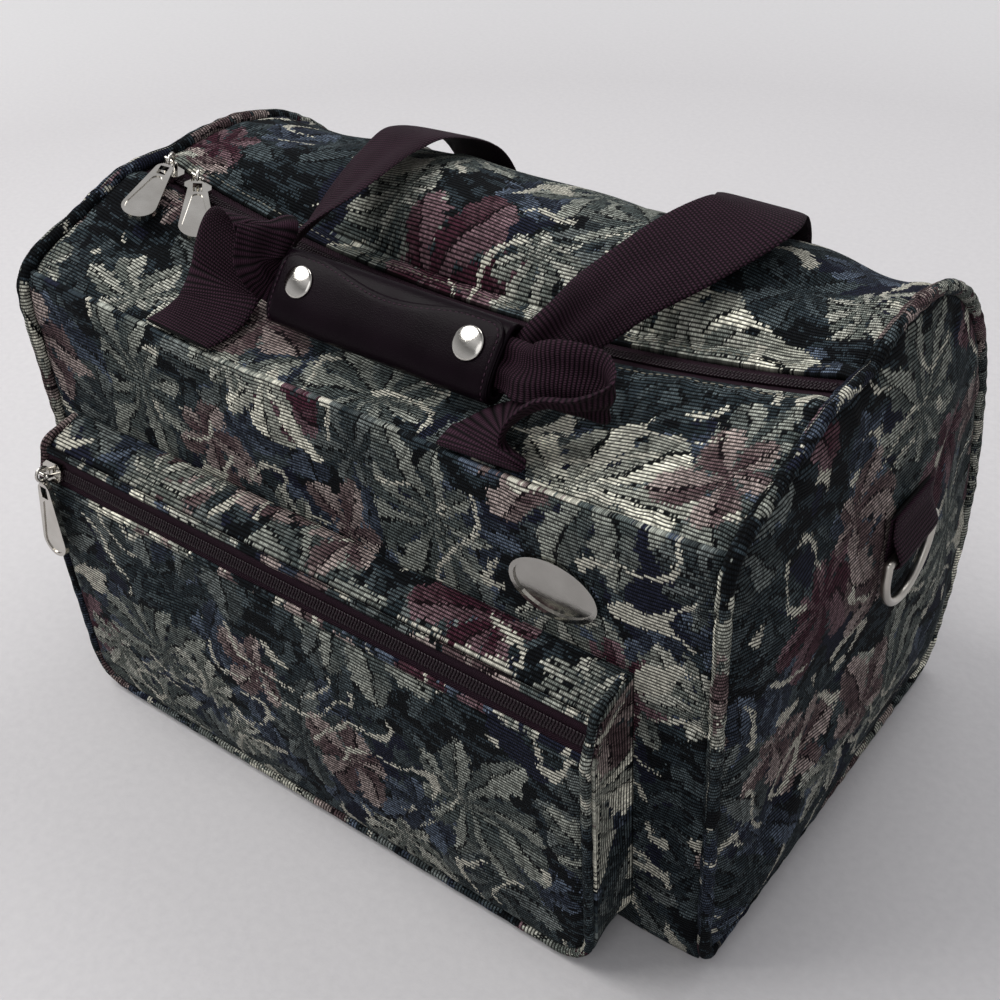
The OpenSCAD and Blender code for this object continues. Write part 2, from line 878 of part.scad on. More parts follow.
// Rounded rectangle about the origin
module rounded(w, h, r) {
    union() {
        square([w - 2 * r, h], center = true);
        square([w, h - 2 * r], center = true);
        for (x = [-1, 1], y = [-1, 1])
            translate([x * (w / 2 - r), y * (h / 2 - r)])
                circle(r);
    }
}

flap_w = 22;
flap_r = 8;

module handle_wrap() {
    outer_r = wrap_d / 2 - gap;
    inner_r = outer_r - leather_t;
    color(aubergine)
        on_wrap() {
            rotate([90, 0, 90])
                linear_extrude(wrap_l, center = true)
                    difference() {
                        rounded(wrap_w, wrap_d, outer_r);
                        rounded(wrap_in_w, wrap_in_d, inner_r);
                    }
            translate([0, -(wrap_w - flap_w) / 2 + outer_r, wrap_d / 2 - leather_t / 2])
                linear_extrude(1.5 * leather_t)
                    rounded(wrap_l - 2 * gap, flap_w, flap_r);
        }
}

module snap_caps() {
    rim = 0.8;
    dome_r = 3 * snap_r;
    color(nickel)
        on_wrap()
            for (s = [-1, 1])
                translate([s * (wrap_l / 2 - 2 * snap_r), 2, wrap_d / 2 + leather_t + gap / 8])
                    union() {
                        cylinder(r = snap_r, h = rim);
                        intersection() {
                            translate([0, 0, rim + 1.2 - dome_r])
                                sphere(dome_r, $fn = 96);
                            cylinder(r = snap_r, h = 2 * snap_r);
                        }
                    }
}

// The ring tab lies on the bulge of its end and loops round the ring's bar
tab_y = 8;
tab_x = half_l + end_bulge + cloth_t / 2 + gap;
loop_in = dring_r + gap;
loop_out = loop_in + web_t;
bar_x = tab_x + loop_out;
tab_up = 20;

module ring_tab() {
    translate([0, tab_y + web_w / 2, dring_h])
        rotate([90, 0, 0])
            linear_extrude(web_w)
                difference() {
                    union() {
                        translate([bar_x, 0])
                            circle(loop_out);
                        translate([tab_x, 0])
                            square([2 * web_t, tab_up]);
                        polygon([
                            [tab_x + 2 * web_t, tab_up - 4], [tab_x + 2 * web_t, 0],
                            [bar_x, 0], [bar_x + loop_out * cos(30), loop_out * sin(30)]
                        ]);
                    }
                    translate([bar_x, 0])
                        circle(loop_in);
                }
}

module d_ring() {
    arc_r = dring_w / 2 + dring_r;
    translate([bar_x, tab_y, dring_h]) {
        rotate([90, 0, 0])
            cylinder(r = dring_r, h = 2 * arc_r, center = true);
        for (s = [-1, 1])
            translate([0, s * arc_r, 0]) {
                sphere(dring_r);
                translate([0, 0, -dring_leg])
                    cylinder(r = dring_r, h = dring_leg);
            }
        translate([0, 0, -dring_leg])
            rotate([0, 90, 0])
                rotate([0, 0, -90])
                    rotate_extrude(angle = 180)
                        translate([arc_r, 0])
                            circle(dring_r);
    }
}

module right_ring_tab() {
    color(plum)
        ring_tab();
}

module left_ring_tab() {
    color(plum)
        mirror([1, 0, 0])
            ring_tab();
}

module right_d_ring() {
    color(nickel)
        d_ring();
}

module left_d_ring() {
    color(nickel)
        mirror([1, 0, 0])
            d_ring();
}

badge_x = 114;
badge_over = 10.5;
badge_z = pocket_h + badge_over + badge_h / 2;

// Oval plate with a raised rim
module badge_plate() {
    n = 48;
    rim_w = 2;
    plate_t = 1;
    rim_t = 1.8;
    function oval(inset) = [for (i = [0:n - 1])
        let (a = 360 * i / n)
        [(badge_l / 2 - inset) * cos(a), (badge_h / 2 - inset) * sin(a)]];
    color(nickel)
        on_front()
            translate([badge_x, gap / 4, badge_z])
                rotate([-90, 0, 0]) {
                    linear_extrude(plate_t)
                        polygon(oval(0));
                    linear_extrude(rim_t)
                        difference() {
                            polygon(oval(0));
                            polygon(oval(rim_w));
                        }
                }
}

front_panel();
front_top_panel();
rear_top_panel();
back_panel();
base_panel();
base_board();
left_end_panel();
right_end_panel();
left_end_piping();
right_end_piping();
front_zip_tape();
rear_zip_tape();
main_zip_coil();
main_slider_a();
main_pull_a();
main_slider_b();
main_pull_b();
pocket_front_panel();
pocket_gusset();
pocket_top_strip();
pocket_piping();
pocket_upper_tape();
pocket_lower_tape();
pocket_zip_coil();
pocket_slider();
pocket_pull();
front_handle();
rear_handle();
handle_wrap();
snap_caps();
left_ring_tab();
right_ring_tab();
left_d_ring();
right_d_ring();
badge_plate();
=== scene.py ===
import math

import bmesh
import bpy
import numpy as np
from mathutils import Matrix, Vector


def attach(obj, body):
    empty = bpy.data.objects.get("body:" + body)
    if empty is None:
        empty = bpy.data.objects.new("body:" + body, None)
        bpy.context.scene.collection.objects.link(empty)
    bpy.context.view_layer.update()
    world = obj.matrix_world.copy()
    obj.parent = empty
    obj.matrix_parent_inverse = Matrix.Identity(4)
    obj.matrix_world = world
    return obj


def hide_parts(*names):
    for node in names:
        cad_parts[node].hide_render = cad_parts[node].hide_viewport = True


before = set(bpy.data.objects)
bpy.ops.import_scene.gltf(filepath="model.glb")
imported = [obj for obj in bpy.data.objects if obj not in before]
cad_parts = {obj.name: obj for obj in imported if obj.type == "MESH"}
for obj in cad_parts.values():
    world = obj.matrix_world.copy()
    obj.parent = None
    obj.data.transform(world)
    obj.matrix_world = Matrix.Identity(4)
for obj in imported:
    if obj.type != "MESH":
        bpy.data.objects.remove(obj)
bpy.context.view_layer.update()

# Looks of a tapestry carpet bag. Shapes are worked out in millimetres, in the frame of the solids.
MM = 0.001

# Sizes of the solids
BAG_L, BAG_D = 368, 228
SEAM_H, LEAN, SEAM_SAG = 228, 12, 5
CREST_H, CREST_TILT, REAR_SEAM_H, BELLY, END_BULGE = 257, 5, 172, 18, 10
CLOTH_T, PIPE_R, GAP = 2.2, 3, 0.4
ZIP_END_H, ZIP_SAG, ZIP_Y = 249, 22, -41
TAPE_SHOW, TAPE_T, TAPE_EDGE, FLANGE = 8, 0.9, 1.2, 9
COIL_W, COIL_H = 6, 2
POCKET_W, POCKET_H, POCKET_D, POCKET_LEFT = 316, 158, 30, 9
POCKET_CORNER, POCKET_PIPE_R, POCKET_BAND, POCKET_BULGE = 20, 2.2, 20, 4
STRIP_DROP, STRIP_IN = 6, 7
WEB_W, WEB_T, LEG_X, LEG_LEFT = 38, 1.8, 78, 5
WRAP_L, WRAP_W, WRAP_D, LEATHER_T = 116, 31, 13, 1.8
WRAP_X, WRAP_DEG, WRAP_Y, WRAP_Z = 8, 52, ZIP_Y - 46, SEAM_H + 16
STRAND_GAP, FLAP_R, SNAP_R = 2.4, 8, 7
TAB_Y, DRING_H, DRING_R, TAB_UP = 8, 160, 2, 20
HUMP_BACK, HUMP_TOP = 40, 22
BADGE_X, BADGE_Z, BADGE_L = 114, 182, 40

HALF_L, HALF_D = BAG_L / 2, BAG_D / 2
PANEL_X = HALF_L - PIPE_R - GAP
SEAT_H = GAP + CLOTH_T
ZIP_R = (PANEL_X ** 2 + ZIP_SAG ** 2) / (2 * ZIP_SAG)
ZIP_AXIS_Z = ZIP_END_H - ZIP_SAG + ZIP_R
LEAN_A = math.atan(LEAN / SEAM_H)
BAND_A = math.asin(STRIP_IN / POCKET_BAND)
BAND_TOP = POCKET_H - STRIP_DROP
BAND_LOW = BAND_TOP - POCKET_BAND * math.cos(BAND_A)
POCKET_X0 = -POCKET_LEFT - POCKET_W / 2
POCKET_X1 = -POCKET_LEFT + POCKET_W / 2
POCKET_LOW = POCKET_PIPE_R + POCKET_D * math.sin(LEAN_A)


# ---- shader helpers ----

def linear(hex_colour):
    """Linear RGBA of a colour written as #rrggbb."""
    channels = [int(hex_colour[i:i + 2], 16) / 255 for i in (1, 3, 5)]
    return [c / 12.92 if c <= 0.04045 else ((c + 0.055) / 1.055) ** 2.4 for c in channels] + [1]


class Graph:
    """Short names for the nodes of one tree."""

    def __init__(self, tree):
        self.tree = tree

    def put(self, socket, value):
        """Link a socket, or set it to a number, a vector or a colour written as #rrggbb."""
        if isinstance(value, bpy.types.NodeSocket):
            self.tree.links.new(value, socket)
        elif value is not None:
            socket.default_value = linear(value) if isinstance(value, str) else value

    def node(self, kind, *inputs, **settings):
        made = self.tree.nodes.new(f"ShaderNode{kind}")
        for key, value in settings.items():
            setattr(made, key, value)
        for socket, value in zip(made.inputs, inputs):
            self.put(socket, value)
        return made

    def math(self, operation, *inputs, clamp=False):
        return self.node("Math", *inputs, operation=operation, use_clamp=clamp).outputs[0]

    def times(self, a, b, clamp=False):
        return self.math("MULTIPLY", a, b, clamp=clamp)

    def scaled(self, value, factor, plus, clamp=False):
        """The value times a factor, plus something."""
        return self.math("MULTIPLY_ADD", value, factor, plus, clamp=clamp)

    def over(self, a, b):
        return self.math("GREATER_THAN", a, b)

    def arch(self, turns):
        """Humps from 0 to 1, one for each whole turn."""
        return self.math("SINE", self.times(self.math("FRACT", turns), math.pi))

    def vector(self, operation, *inputs):
        return self.node("VectorMath", *inputs, operation=operation).outputs[0]

    def length(self, vector):
        return self.node("VectorMath", vector, operation="LENGTH").outputs["Value"]

    def stray(self, noise, reach):
        """A colour of noise as a shift either way in the plane of the cloth."""
        middle = self.vector("SUBTRACT", noise, (0.5, 0.5, 0.5))
        return self.vector("MULTIPLY", middle, (reach, reach, 0))

    def mix(self, share, a, b, blend="MIX"):
        made = self.node("Mix", data_type="RGBA", blend_type=blend)
        for index, value in ((0, share), (6, a), (7, b)):
            self.put(made.inputs[index], value)
        return made.outputs[2]

    def noise(self, coords, scale, detail, output=0):
        made = self.node("TexNoise", noise_dimensions="3D")
        for key, value in (("Vector", coords), ("Scale", scale), ("Detail", detail)):
            self.put(made.inputs[key], value)
        return made.outputs[output]

    def place(self):
        return self.node("TexCoord").outputs["Object"]

    def cloth_mm(self):
        """The flat cloth's own coordinates, in millimetres."""
        uv = self.node("UVMap", uv_map="cloth").outputs[0]
        return self.vector("MULTIPLY", uv, (1000, 1000, 0))

    def flat(self):
        """Distances across and along the flat cloth, in millimetres."""
        return self.node("SeparateXYZ", self.cloth_mm()).outputs[:2]


class Look(Graph):
    """The nodes of one material."""

    def __init__(self, name, **surface):
        self.material = bpy.data.materials.new(name)
        self.material.use_nodes = True
        super().__init__(self.material.node_tree)
        self.shader = self.tree.nodes["Principled BSDF"]
        for socket, value in surface.items():
            self.shader.inputs[socket.replace("_", " ")].default_value = value

    def finish(self, colour, height, depth, roughness=None):
        bump = self.node("Bump")
        self.put(bump.inputs["Strength"], 1.0)
        self.put(bump.inputs["Distance"], depth * MM)
        self.put(bump.inputs["Height"], height)
        self.put(self.shader.inputs["Base Color"], colour)
        self.put(self.shader.inputs["Normal"], bump.outputs[0])
        self.put(self.shader.inputs["Roughness"], roughness)
        return self.material


# ---- materials ----

RIB_PITCH, DOT_PITCH = 1.6, 0.8
# Leaves from the lowest layer up: cell in mm, shift in cells, lobes, size, share of cells that
# have one, sharpness of the lobes, and colours of the pale half, the shaded half and the ribs
LEAVES = (
    (58, (3.1, 7.7, 0), 7, 0.64, 0.9, 0.8, "#464f52", "#20282c", "#090b0d"),
    (46, (4.6, 3.3, 0), 5, 0.62, 0.5, 0.8, "#535d6b", "#252b36", "#090b0f"),
    (72, (9.3, 1.2, 0), 7, 0.64, 0.6, 0.8, "#6c7270", "#2e3537", "#0a0c0e"),
    (84, (5.7, 4.4, 0), 9, 0.62, 0.45, 0.8, "#95988f", "#434a49", "#0c0e10"),
    (104, (1.9, 8.6, 0), 6, 0.36, 0.28, 0.45, "#6f5a5f", "#351a24", "#14080d"),
    (92, (7.2, 2.9, 0), 7, 0.62, 0.27, 0.8, "#f3f0de", "#8a8c83", "#0e1112"),
    (54, (2.4, 6.1, 0), 5, 0.58, 0.2, 0.7, "#a0938e", "#4d3e40", "#140c10"),
    (48, (8.8, 5.5, 0), 7, 0.6, 0.16, 0.8, "#b4b4a9", "#5c615c", "#0c0e10"),
)


def leaf_cells(g, coords, cell, shift):
    """Place of each point round the middle of its cell, and the cell's three chances."""
    place = g.vector("ADD", g.vector("MULTIPLY", coords, (1 / cell, 1 / cell, 0)), shift)
    cells = g.node("TexVoronoi", voronoi_dimensions="2D", feature="F1")
    for key, value in (("Vector", place), ("Scale", 1.0), ("Randomness", 0.85)):
        g.put(cells.inputs[key], value)
    spread = g.vector("SUBTRACT", place, cells.outputs["Position"])
    return spread, g.node("SeparateColor", cells.outputs["Color"]).outputs[:3]


def leaf_layer(g, coords, cell, shift, lobes, size, keep, tip):
    """Where a leaf covers, how far out, which half of a lobe, and its ribs and veins."""
    spread, (spin, grow, chance) = leaf_cells(g, coords, cell, shift)
    x, y = g.node("SeparateXYZ", spread).outputs[:2]
    radius = g.length(spread)
    turn = g.scaled(spin, 2 * math.pi, g.math("ARCTAN2", y, x))
    bend = g.scaled(radius, 0.5, turn)
    sector = g.math("FRACT", g.scaled(bend, lobes / (2 * math.pi), 20.0))
    off = g.times(g.math("SUBTRACT", sector, 0.5), 2.0)
    wide = g.math("ABSOLUTE", off)
    front = g.scaled(g.math("COSINE", turn), 0.3, 0.8)
    reach = g.times(front, g.scaled(grow, 0.35 * size, 0.8 * size))
    share = g.math("DIVIDE", radius, reach, clamp=True)

    swell = g.math("SINE", g.times(g.math("POWER", share, 0.8), math.pi))
    teeth = g.scaled(g.math("SINE", g.times(share, 36.0)), 0.13, 0.95)
    palm = g.scaled(share, -2.6, 1.5)
    lobe = g.math("MAXIMUM", g.times(teeth, g.math("POWER", swell, tip)), palm)
    covers = g.times(g.over(lobe, wide), g.over(keep, chance))
    rib = g.math("LESS_THAN", wide, g.scaled(share, -0.08, 0.1))
    vein = g.over(g.math("SINE", g.scaled(share, 34.0, g.times(wide, -11.0))), 0.72)
    return covers, share, g.over(off, 0.0), g.scaled(vein, 0.45, rib, clamp=True)


def leaf_colour(g, leaf, pale, mid, dark, grain):
    """Pale and shaded halves, dark ribs and a streaky fade towards the middle."""
    _, share, half, rib = leaf
    fade = g.math("SUBTRACT", g.scaled(grain, 1.1, 0.2), g.times(share, 0.7))
    body = g.mix(g.scaled(half, 0.6, fade, clamp=True), pale, mid)
    return g.mix(rib, body, dark)


def twigs(g, coords, patches, streaks):
    """Winding strokes that swell and thin, in patches."""
    curl = g.math("FRACT", g.times(g.noise(coords, 0.013, 1.0), 9.0))
    off = g.math("ABSOLUTE", g.math("SUBTRACT", curl, 0.5))
    stroke = g.math("LESS_THAN", off, g.scaled(streaks, 0.26, -0.06))
    return g.times(stroke, g.over(patches, 0.52))


def tapestry():
    """Leaves, flowers and twigs woven in weft ribs on a dark ground."""
    g = Look("tapestry", Roughness=0.95, Specular_IOR_Level=0.1)
    across, along = g.flat()
    rows = g.math("DIVIDE", along, RIB_PITCH)
    row = g.math("FLOOR", rows)
    beat = g.scaled(row, 0.5, g.math("DIVIDE", across, DOT_PITCH))
    tick = g.node("CombineXYZ", g.math("FLOOR", beat), row).outputs[0]
    speck = g.node("TexWhiteNoise", tick, noise_dimensions="2D")
    in_row = g.node("CombineXYZ", across, g.times(row, RIB_PITCH)).outputs[0]
    stepped = g.vector("ADD", in_row, g.stray(speck.outputs["Color"], 1.7))
    sway = g.noise(stepped, 0.03, 2.0, "Color")
    coords = g.vector("ADD", stepped, g.stray(sway, 20))
    streaks = g.noise(g.vector("MULTIPLY", coords, (0.07, 0.2, 0)), 1.0, 3.0)
    patches = g.noise(stepped, 0.022, 1.0)

    colour = g.mix(g.over(streaks, 0.53), "#0a0d10", "#252d32")
    colour = g.mix(g.over(patches, 0.56), colour, "#181b28")
    for *form, pale, mid, dark in LEAVES:
        leaf = leaf_layer(g, coords, *form)
        colour = g.mix(leaf[0], colour, leaf_colour(g, leaf, pale, mid, dark, streaks))
    colour = g.mix(twigs(g, coords, patches, streaks), colour, "#aeaca0")

    # Dark grooves between the ribs, and threads that break up most where the cloth is dark
    rib, dot = g.arch(rows), g.arch(beat)
    weave = g.scaled(g.scaled(rib, 3.2, -1.5, clamp=True), 0.88, 0.12)
    bright = g.times(g.node("RGBToBW", colour).outputs[0], 1.8, clamp=True)
    spotted = g.scaled(g.math("SUBTRACT", 1.0, bright), g.scaled(dot, 1.4, -0.8), 1.0)
    uneven = g.times(spotted, g.scaled(speck.outputs[0], 0.8, 0.7))
    woven = g.mix(1.0, colour, g.times(weave, uneven), "MULTIPLY")
    return g.finish(woven, g.scaled(rib, 1.0, g.times(dot, 0.3)), 0.35)


def webbing_look():
    """Plum webbing with beaded cross ribs, painted lighter on the bead tops as painted highlight
    and near black in the grooves as painted shade.
    """
    g = Look("webbing", Roughness=0.7, Specular_IOR_Level=0.08)
    across, along = g.flat()
    rows = g.math("DIVIDE", along, 1.75)
    odd = g.math("MODULO", g.math("FLOOR", rows), 2.0)
    phase = g.scaled(across, math.pi / 1.3, g.times(odd, math.pi / 2))
    beads = g.math("ABSOLUTE", g.math("SINE", phase))
    height = g.times(g.arch(rows), g.scaled(beads, 0.65, 0.35))
    wear = g.noise(g.cloth_mm(), 0.06, 4.0)
    # Painted light: the colour runs from near black in the grooves to plum on the bead tops, as
    # painted shade and highlight, times a random tone of wear
    tone = g.times(g.math("POWER", height, 1.5), g.scaled(wear, 0.8, 0.6), clamp=True)
    return g.finish(g.mix(tone, "#020102", "#38222f"), height, 0.5)


def leather_look():
    """Fine pebbled grain."""
    g = Look("leather", Specular_IOR_Level=0.05)
    place = g.place()
    grain = g.node("TexVoronoi", feature="DISTANCE_TO_EDGE")
    g.put(grain.inputs["Vector"], place)
    g.put(grain.inputs["Scale"], 1100.0)
    crease = g.times(grain.outputs[0], 3.0, clamp=True)
    soft = g.noise(place, 60.0, 4.0)
    colour = g.mix(soft, "#070306", "#120810")
    return g.finish(colour, g.scaled(crease, 0.5, soft), 0.06, g.scaled(soft, 0.2, 0.26))


def tape_look():
    """Twill that mirrors on the two sides of the coil."""
    g = Look("zip_tape", Roughness=0.85, Specular_IOR_Level=0.15)
    along, across = g.flat()
    slant = g.math("ADD", along, g.math("ABSOLUTE", across))
    twill = g.math("SINE", g.times(slant, 2 * math.pi / 1.1))
    fleck = g.noise(g.cloth_mm(), 1.4, 2.0)
    colour = g.mix(g.scaled(twill, 0.25, fleck), "#0c060a", "#2b1623")
    return g.finish(colour, g.scaled(fleck, 0.6, twill), 0.15)


def coil_look():
    g = Look("zip_coil", Specular_IOR_Level=0.2)
    fleck = g.noise(g.place(), 500.0, 2.0)
    colour = g.mix(fleck, "#0b0509", "#22121b")
    return g.finish(colour, fleck, 0.05, g.scaled(fleck, 0.2, 0.28))


def metal_look(name, colour, dull, rough, scratch):
    """Plated metal with faint handling marks."""
    g = Look(name, Metallic=1.0)
    place = g.place()
    marks = g.noise(g.vector("MULTIPLY", place, (1, 1, 6)), 420.0, 5.0)
    cloud = g.noise(place, 90.0, 3.0)
    tone = g.mix(cloud, colour, dull)
    return g.finish(tone, marks, scratch, g.scaled(marks, 0.16, rough))


def board_look():
    g = Look("board", Roughness=0.9)
    fibre = g.noise(g.vector("MULTIPLY", g.place(), (1, 4, 1)), 150.0, 4.0)
    return g.finish(g.mix(fibre, "#1f1c1a", "#3a3531"), fibre, 0.2)


def thread_look(name, pale, deep):
    g = Look(name, Roughness=0.7, Specular_IOR_Level=0.2)
    ply = g.noise(g.place(), 2600.0, 2.0)
    return g.finish(g.mix(ply, pale, deep), ply, 0.05)


TAPESTRY = tapestry()
WEBBING = webbing_look()
LEATHER = leather_look()
TAPE = tape_look()
COIL = coil_look()
NICKEL = metal_look("nickel", "#d0cdc7", "#a8a49d", 0.05, 0.015)
CHROME = metal_look("chrome", "#b5b3ae", "#94928d", 0.03, 0.006)
SATIN = metal_look("satin_nickel", "#c9c5bd", "#a7a39b", 0.24, 0.03)
BOARD = board_look()
THREAD = thread_look("thread", "#8d8a7c", "#4c4a43")
PLUM_THREAD = thread_look("plum_thread", "#3c2233", "#1c0e17")


# ---- shape helpers ----

def unit(vectors):
    """Vectors brought to length one."""
    return vectors / np.maximum(np.linalg.norm(vectors, axis=-1, keepdims=True), 1e-9)


def bell(x, width, at=0.0, power=2):
    """A hump of height one."""
    return np.exp(-((x - at) / width) ** power)


def ease(run, reach):
    """From 0 at a held edge to 1 well away from it."""
    return 1 - np.exp(-run / reach)


def field(first, second):
    """Two arrays of values over a grid, each given as its ends and a count."""
    return np.meshgrid(np.linspace(*first), np.linspace(*second), indexing="ij")


def surface_normals(grid):
    """Unit normals of a grid of points."""
    return unit(np.cross(np.gradient(grid, axis=0), np.gradient(grid, axis=1)))


def lengths(path):
    """Distance run along a path at each of its points."""
    return np.concatenate([[0], np.cumsum(np.linalg.norm(np.diff(path, axis=0), axis=1))])


def sample(path, run, marks):
    """Points of a path at some distances along it."""
    return np.stack([np.interp(marks, run, column) for column in path.T], axis=1)


def smooth_path(points, count, closed=False, steps=24):
    """Even samples along a smooth curve through points."""
    p = np.asarray(points, dtype=float)
    n = len(p)

    def pick(k):
        return p[k % n] if closed else p[min(max(k, 0), n - 1)]

    found = []
    for i in range(n if closed else n - 1):
        a, b, c, d = pick(i - 1), pick(i), pick(i + 1), pick(i + 2)
        for v in np.arange(steps) / steps:
            found.append(0.5 * (2 * b + (c - a) * v + (2 * a - 5 * b + 4 * c - d) * v ** 2
                                + (3 * b - a - 3 * c + d) * v ** 3))
    found = np.array(found + [p[0] if closed else p[-1]])
    run = lengths(found)
    return sample(found, run, np.linspace(0, run[-1], count, endpoint=not closed))


def folds(a, b, seed, size, count=6):
    """Smooth seeded unevenness, about one unit high."""
    rng = np.random.default_rng(seed)
    total = 0
    for _ in range(count):
        angle, phase = rng.uniform(0, 2 * math.pi, 2)
        wave = size * rng.uniform(0.6, 1.7)
        across = a * math.cos(angle) + b * math.sin(angle)
        total = total + np.sin(2 * math.pi * across / wave + phase)
    return total / math.sqrt(count)


def creases(a, b, lines):
    """Soft creases along lines from (a0, b0) to (a1, b1), each with a depth and a width."""
    total = 0
    for a0, b0, a1, b1, depth, width in lines:
        da, db = a1 - a0, b1 - b0
        span = math.hypot(da, db)
        along = np.clip(((a - a0) * da + (b - b0) * db) / span ** 2, 0, 1)
        off = ((a - a0) * db - (b - b0) * da) / span
        dip = bell(off, width) - 0.6 * bell(off, 1.6 * width, 2.2 * width)
        total = total - depth * np.sin(math.pi * along) * dip
    return total


# ---- mesh helpers ----

# Where each piece is cut from the pattern, in millimetres
CUT = {
    "top_cloth": (210, 420), "rear_cloth": (520, 640), "back_cloth": (90, 1100),
    "base_cloth": (0, 1800), "left_end_cloth": (1300, 160), "right_end_cloth": (3420, 2210),
    "left_piping_cord": (300, 900), "right_piping_cord": (300, 900),
    "pocket_cloth": (4290, 1530), "pocket_wall": (2700, 500), "pocket_strip": (3600, 90),
    "pocket_piping_cord": (700, 3100), "pocket_lips": (3600, 60),
}


def add_piece(name, points, faces, material, uv=None, nodes=(), slot="tapestry"):
    """A smooth mesh that rides on the bag and stands for some solids."""
    mesh = bpy.data.meshes.new(name)
    mesh.from_pydata((np.asarray(points) * MM).tolist(), [], faces)
    if uv is not None:
        flat = (uv + np.array(CUT.get(name, (0, 0)))) * MM
        corners = np.empty(len(mesh.loops), dtype=np.int32)
        mesh.loops.foreach_get("vertex_index", corners)
        mesh.uv_layers.new(name="cloth").data.foreach_set("uv", flat[corners].ravel())
    work = bmesh.new()
    work.from_mesh(mesh)
    bmesh.ops.recalc_face_normals(work, faces=work.faces)
    work.to_mesh(mesh)
    work.free()
    mesh.polygons.foreach_set("use_smooth", np.ones(len(mesh.polygons), dtype=bool))
    piece = bpy.data.objects.new(name, mesh)
    bpy.context.collection.objects.link(piece)
    mesh.materials.append(material)
    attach(piece, "bag")
    if nodes:
        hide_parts(*nodes)
    return piece


def strip_faces(nu, nv, start=0, wrap_u=False, wrap_v=False):
    """Quads of a grid of nu by nv points."""
    faces = []
    for i in range(nu if wrap_u else nu - 1):
        a, b = start + i * nv, start + (i + 1) % nu * nv
        for j in range(nv if wrap_v else nv - 1):
            j2 = (j + 1) % nv
            faces.append((a + j, b + j, b + j2, a + j2))
    return faces


def sheet_mesh(outer, inner):
    """Closed sheet between two grids of points."""
    nu, nv = outer.shape[:2]
    n = nu * nv
    faces = strip_faces(nu, nv) + [f[::-1] for f in strip_faces(nu, nv, n)]
    rim = [(i, 0) for i in range(nu)] + [(nu - 1, j) for j in range(1, nv)]
    rim += [(i, nv - 1) for i in range(nu - 2, -1, -1)] + [(0, j) for j in range(nv - 2, 0, -1)]
    loop = [i * nv + j for i, j in rim]
    faces += [(b, a, a + n, b + n) for a, b in zip(loop, loop[1:] + loop[:1])]
    return np.concatenate([outer.reshape(-1, 3), inner.reshape(-1, 3)]), faces


def tube_mesh(rings, closed=False):
    """Tube through rings of points, with flat ends unless it closes on itself."""
    n, m = rings.shape[:2]
    faces = strip_faces(n, m, wrap_u=closed, wrap_v=True)
    if not closed:
        faces += [tuple(range(m)), tuple(range((n - 1) * m, n * m))]
    return rings.reshape(-1, 3), faces


def joined(meshes):
    """Several meshes as one."""
    points, faces, start = [], [], 0
    for some, cells in meshes:
        points.append(some)
        faces += [tuple(start + k for k in cell) for cell in cells]
        start += len(some)
    return np.concatenate(points), faces


def flat_uv(u, v):
    """Places on the flat cloth of a grid of points."""
    return np.stack(np.broadcast_arrays(u, v), axis=2).reshape(-1, 2)


def cloth_piece(name, outer, inner, u, v, node, material=TAPESTRY, slot="tapestry"):
    """A sheet of cloth, with the same pattern on its two faces."""
    points, faces = sheet_mesh(outer, inner)
    uv = np.concatenate([flat_uv(u, v)] * 2)
    return add_piece(name, points, faces, material, uv, [node], slot)


def tube_piece(name, rings, u, v, node, material=TAPESTRY, slot="tapestry", closed=False):
    """A tube of cloth or webbing."""
    points, faces = tube_mesh(rings, closed)
    add_piece(name, points, faces, material, flat_uv(u, v), [node], slot)


def bead():
    """Points and faces of a rounded bar along x: a stitch or a turn of a zip's coil."""
    sides, rows = 6, ((-0.72, 0.75), (0.0, 1.0), (0.72, 0.75))
    angles = [2 * math.pi * k / sides for k in range(sides)]
    body = [(s, r * math.cos(a), r * math.sin(a)) for s, r in rows for a in angles]
    points = np.array([(-1, 0, 0)] + body + [(1, 0, 0)])
    last = len(points) - 1
    faces = [(0, 1 + (k + 1) % sides, 1 + k) for k in range(sides)]
    faces += [(last, last - sides + k, last - sides + (k + 1) % sides) for k in range(sides)]
    for start in (1, 1 + sides):
        for k in range(sides):
            a, b = start + k, start + (k + 1) % sides
            faces.append((a, b, b + sides, a + sides))
    return points, faces


def bead_mesh(sites, runs, ups, size):
    """One bead at each site, along its run."""
    base, cell = bead()
    beads = []
    for site, run, up in zip(sites, runs, ups):
        run = unit(run)
        side = unit(np.cross(up, run))
        axes = np.array([run * size[0], side * size[1], np.cross(run, side) * size[2]])
        beads.append((site + base @ axes, cell))
    return joined(beads)


def stitch_line(path, ups, pitch=3.4):
    """Stitches along a path: their sites, directions and ups."""
    run = lengths(path)
    marks = np.arange(pitch / 2, run[-1], pitch)
    ahead, behind = sample(path, run, marks + 0.5), sample(path, run, marks - 0.5)
    return sample(path, run, marks), ahead - behind, sample(ups, run, marks)


def add_stitches(name, lines, material, slot, size=(1.2, 0.32, 0.28)):
    site, run, up = (np.concatenate(part) for part in zip(*lines))
    points, faces = bead_mesh(site, run, up, size)
    return add_piece(name, points, faces, material, slot=slot)


# ---- sections of the bag's body, by place along the bag from -1 to 1 and along the section ----

# Rises and dents of the crest: height, place along the bag and width
DENTS = ((3, -30, 45), (-3, 35, 35), (-7, 152, 22))
ZIP_FLAT = 0.08


def zip_z(x):
    return ZIP_AXIS_Z - np.sqrt(ZIP_R ** 2 - x ** 2)


def seam_z(t):
    wave = 1.2 * np.sin(7 * t + 1) * (1 - t * t)
    return SEAM_H - SEAM_SAG * (1 - t * t) + wave


def crest_z(t):
    """Height of the crest, which slumps most beside the right end."""
    dents = sum(high * bell(t * PANEL_X, width, at) for high, at, width in DENTS)
    return CREST_H + CREST_TILT * t + dents


def front_pt(t, v):
    z = v * seam_z(t)
    return -HALF_D - LEAN * z / SEAM_H, z


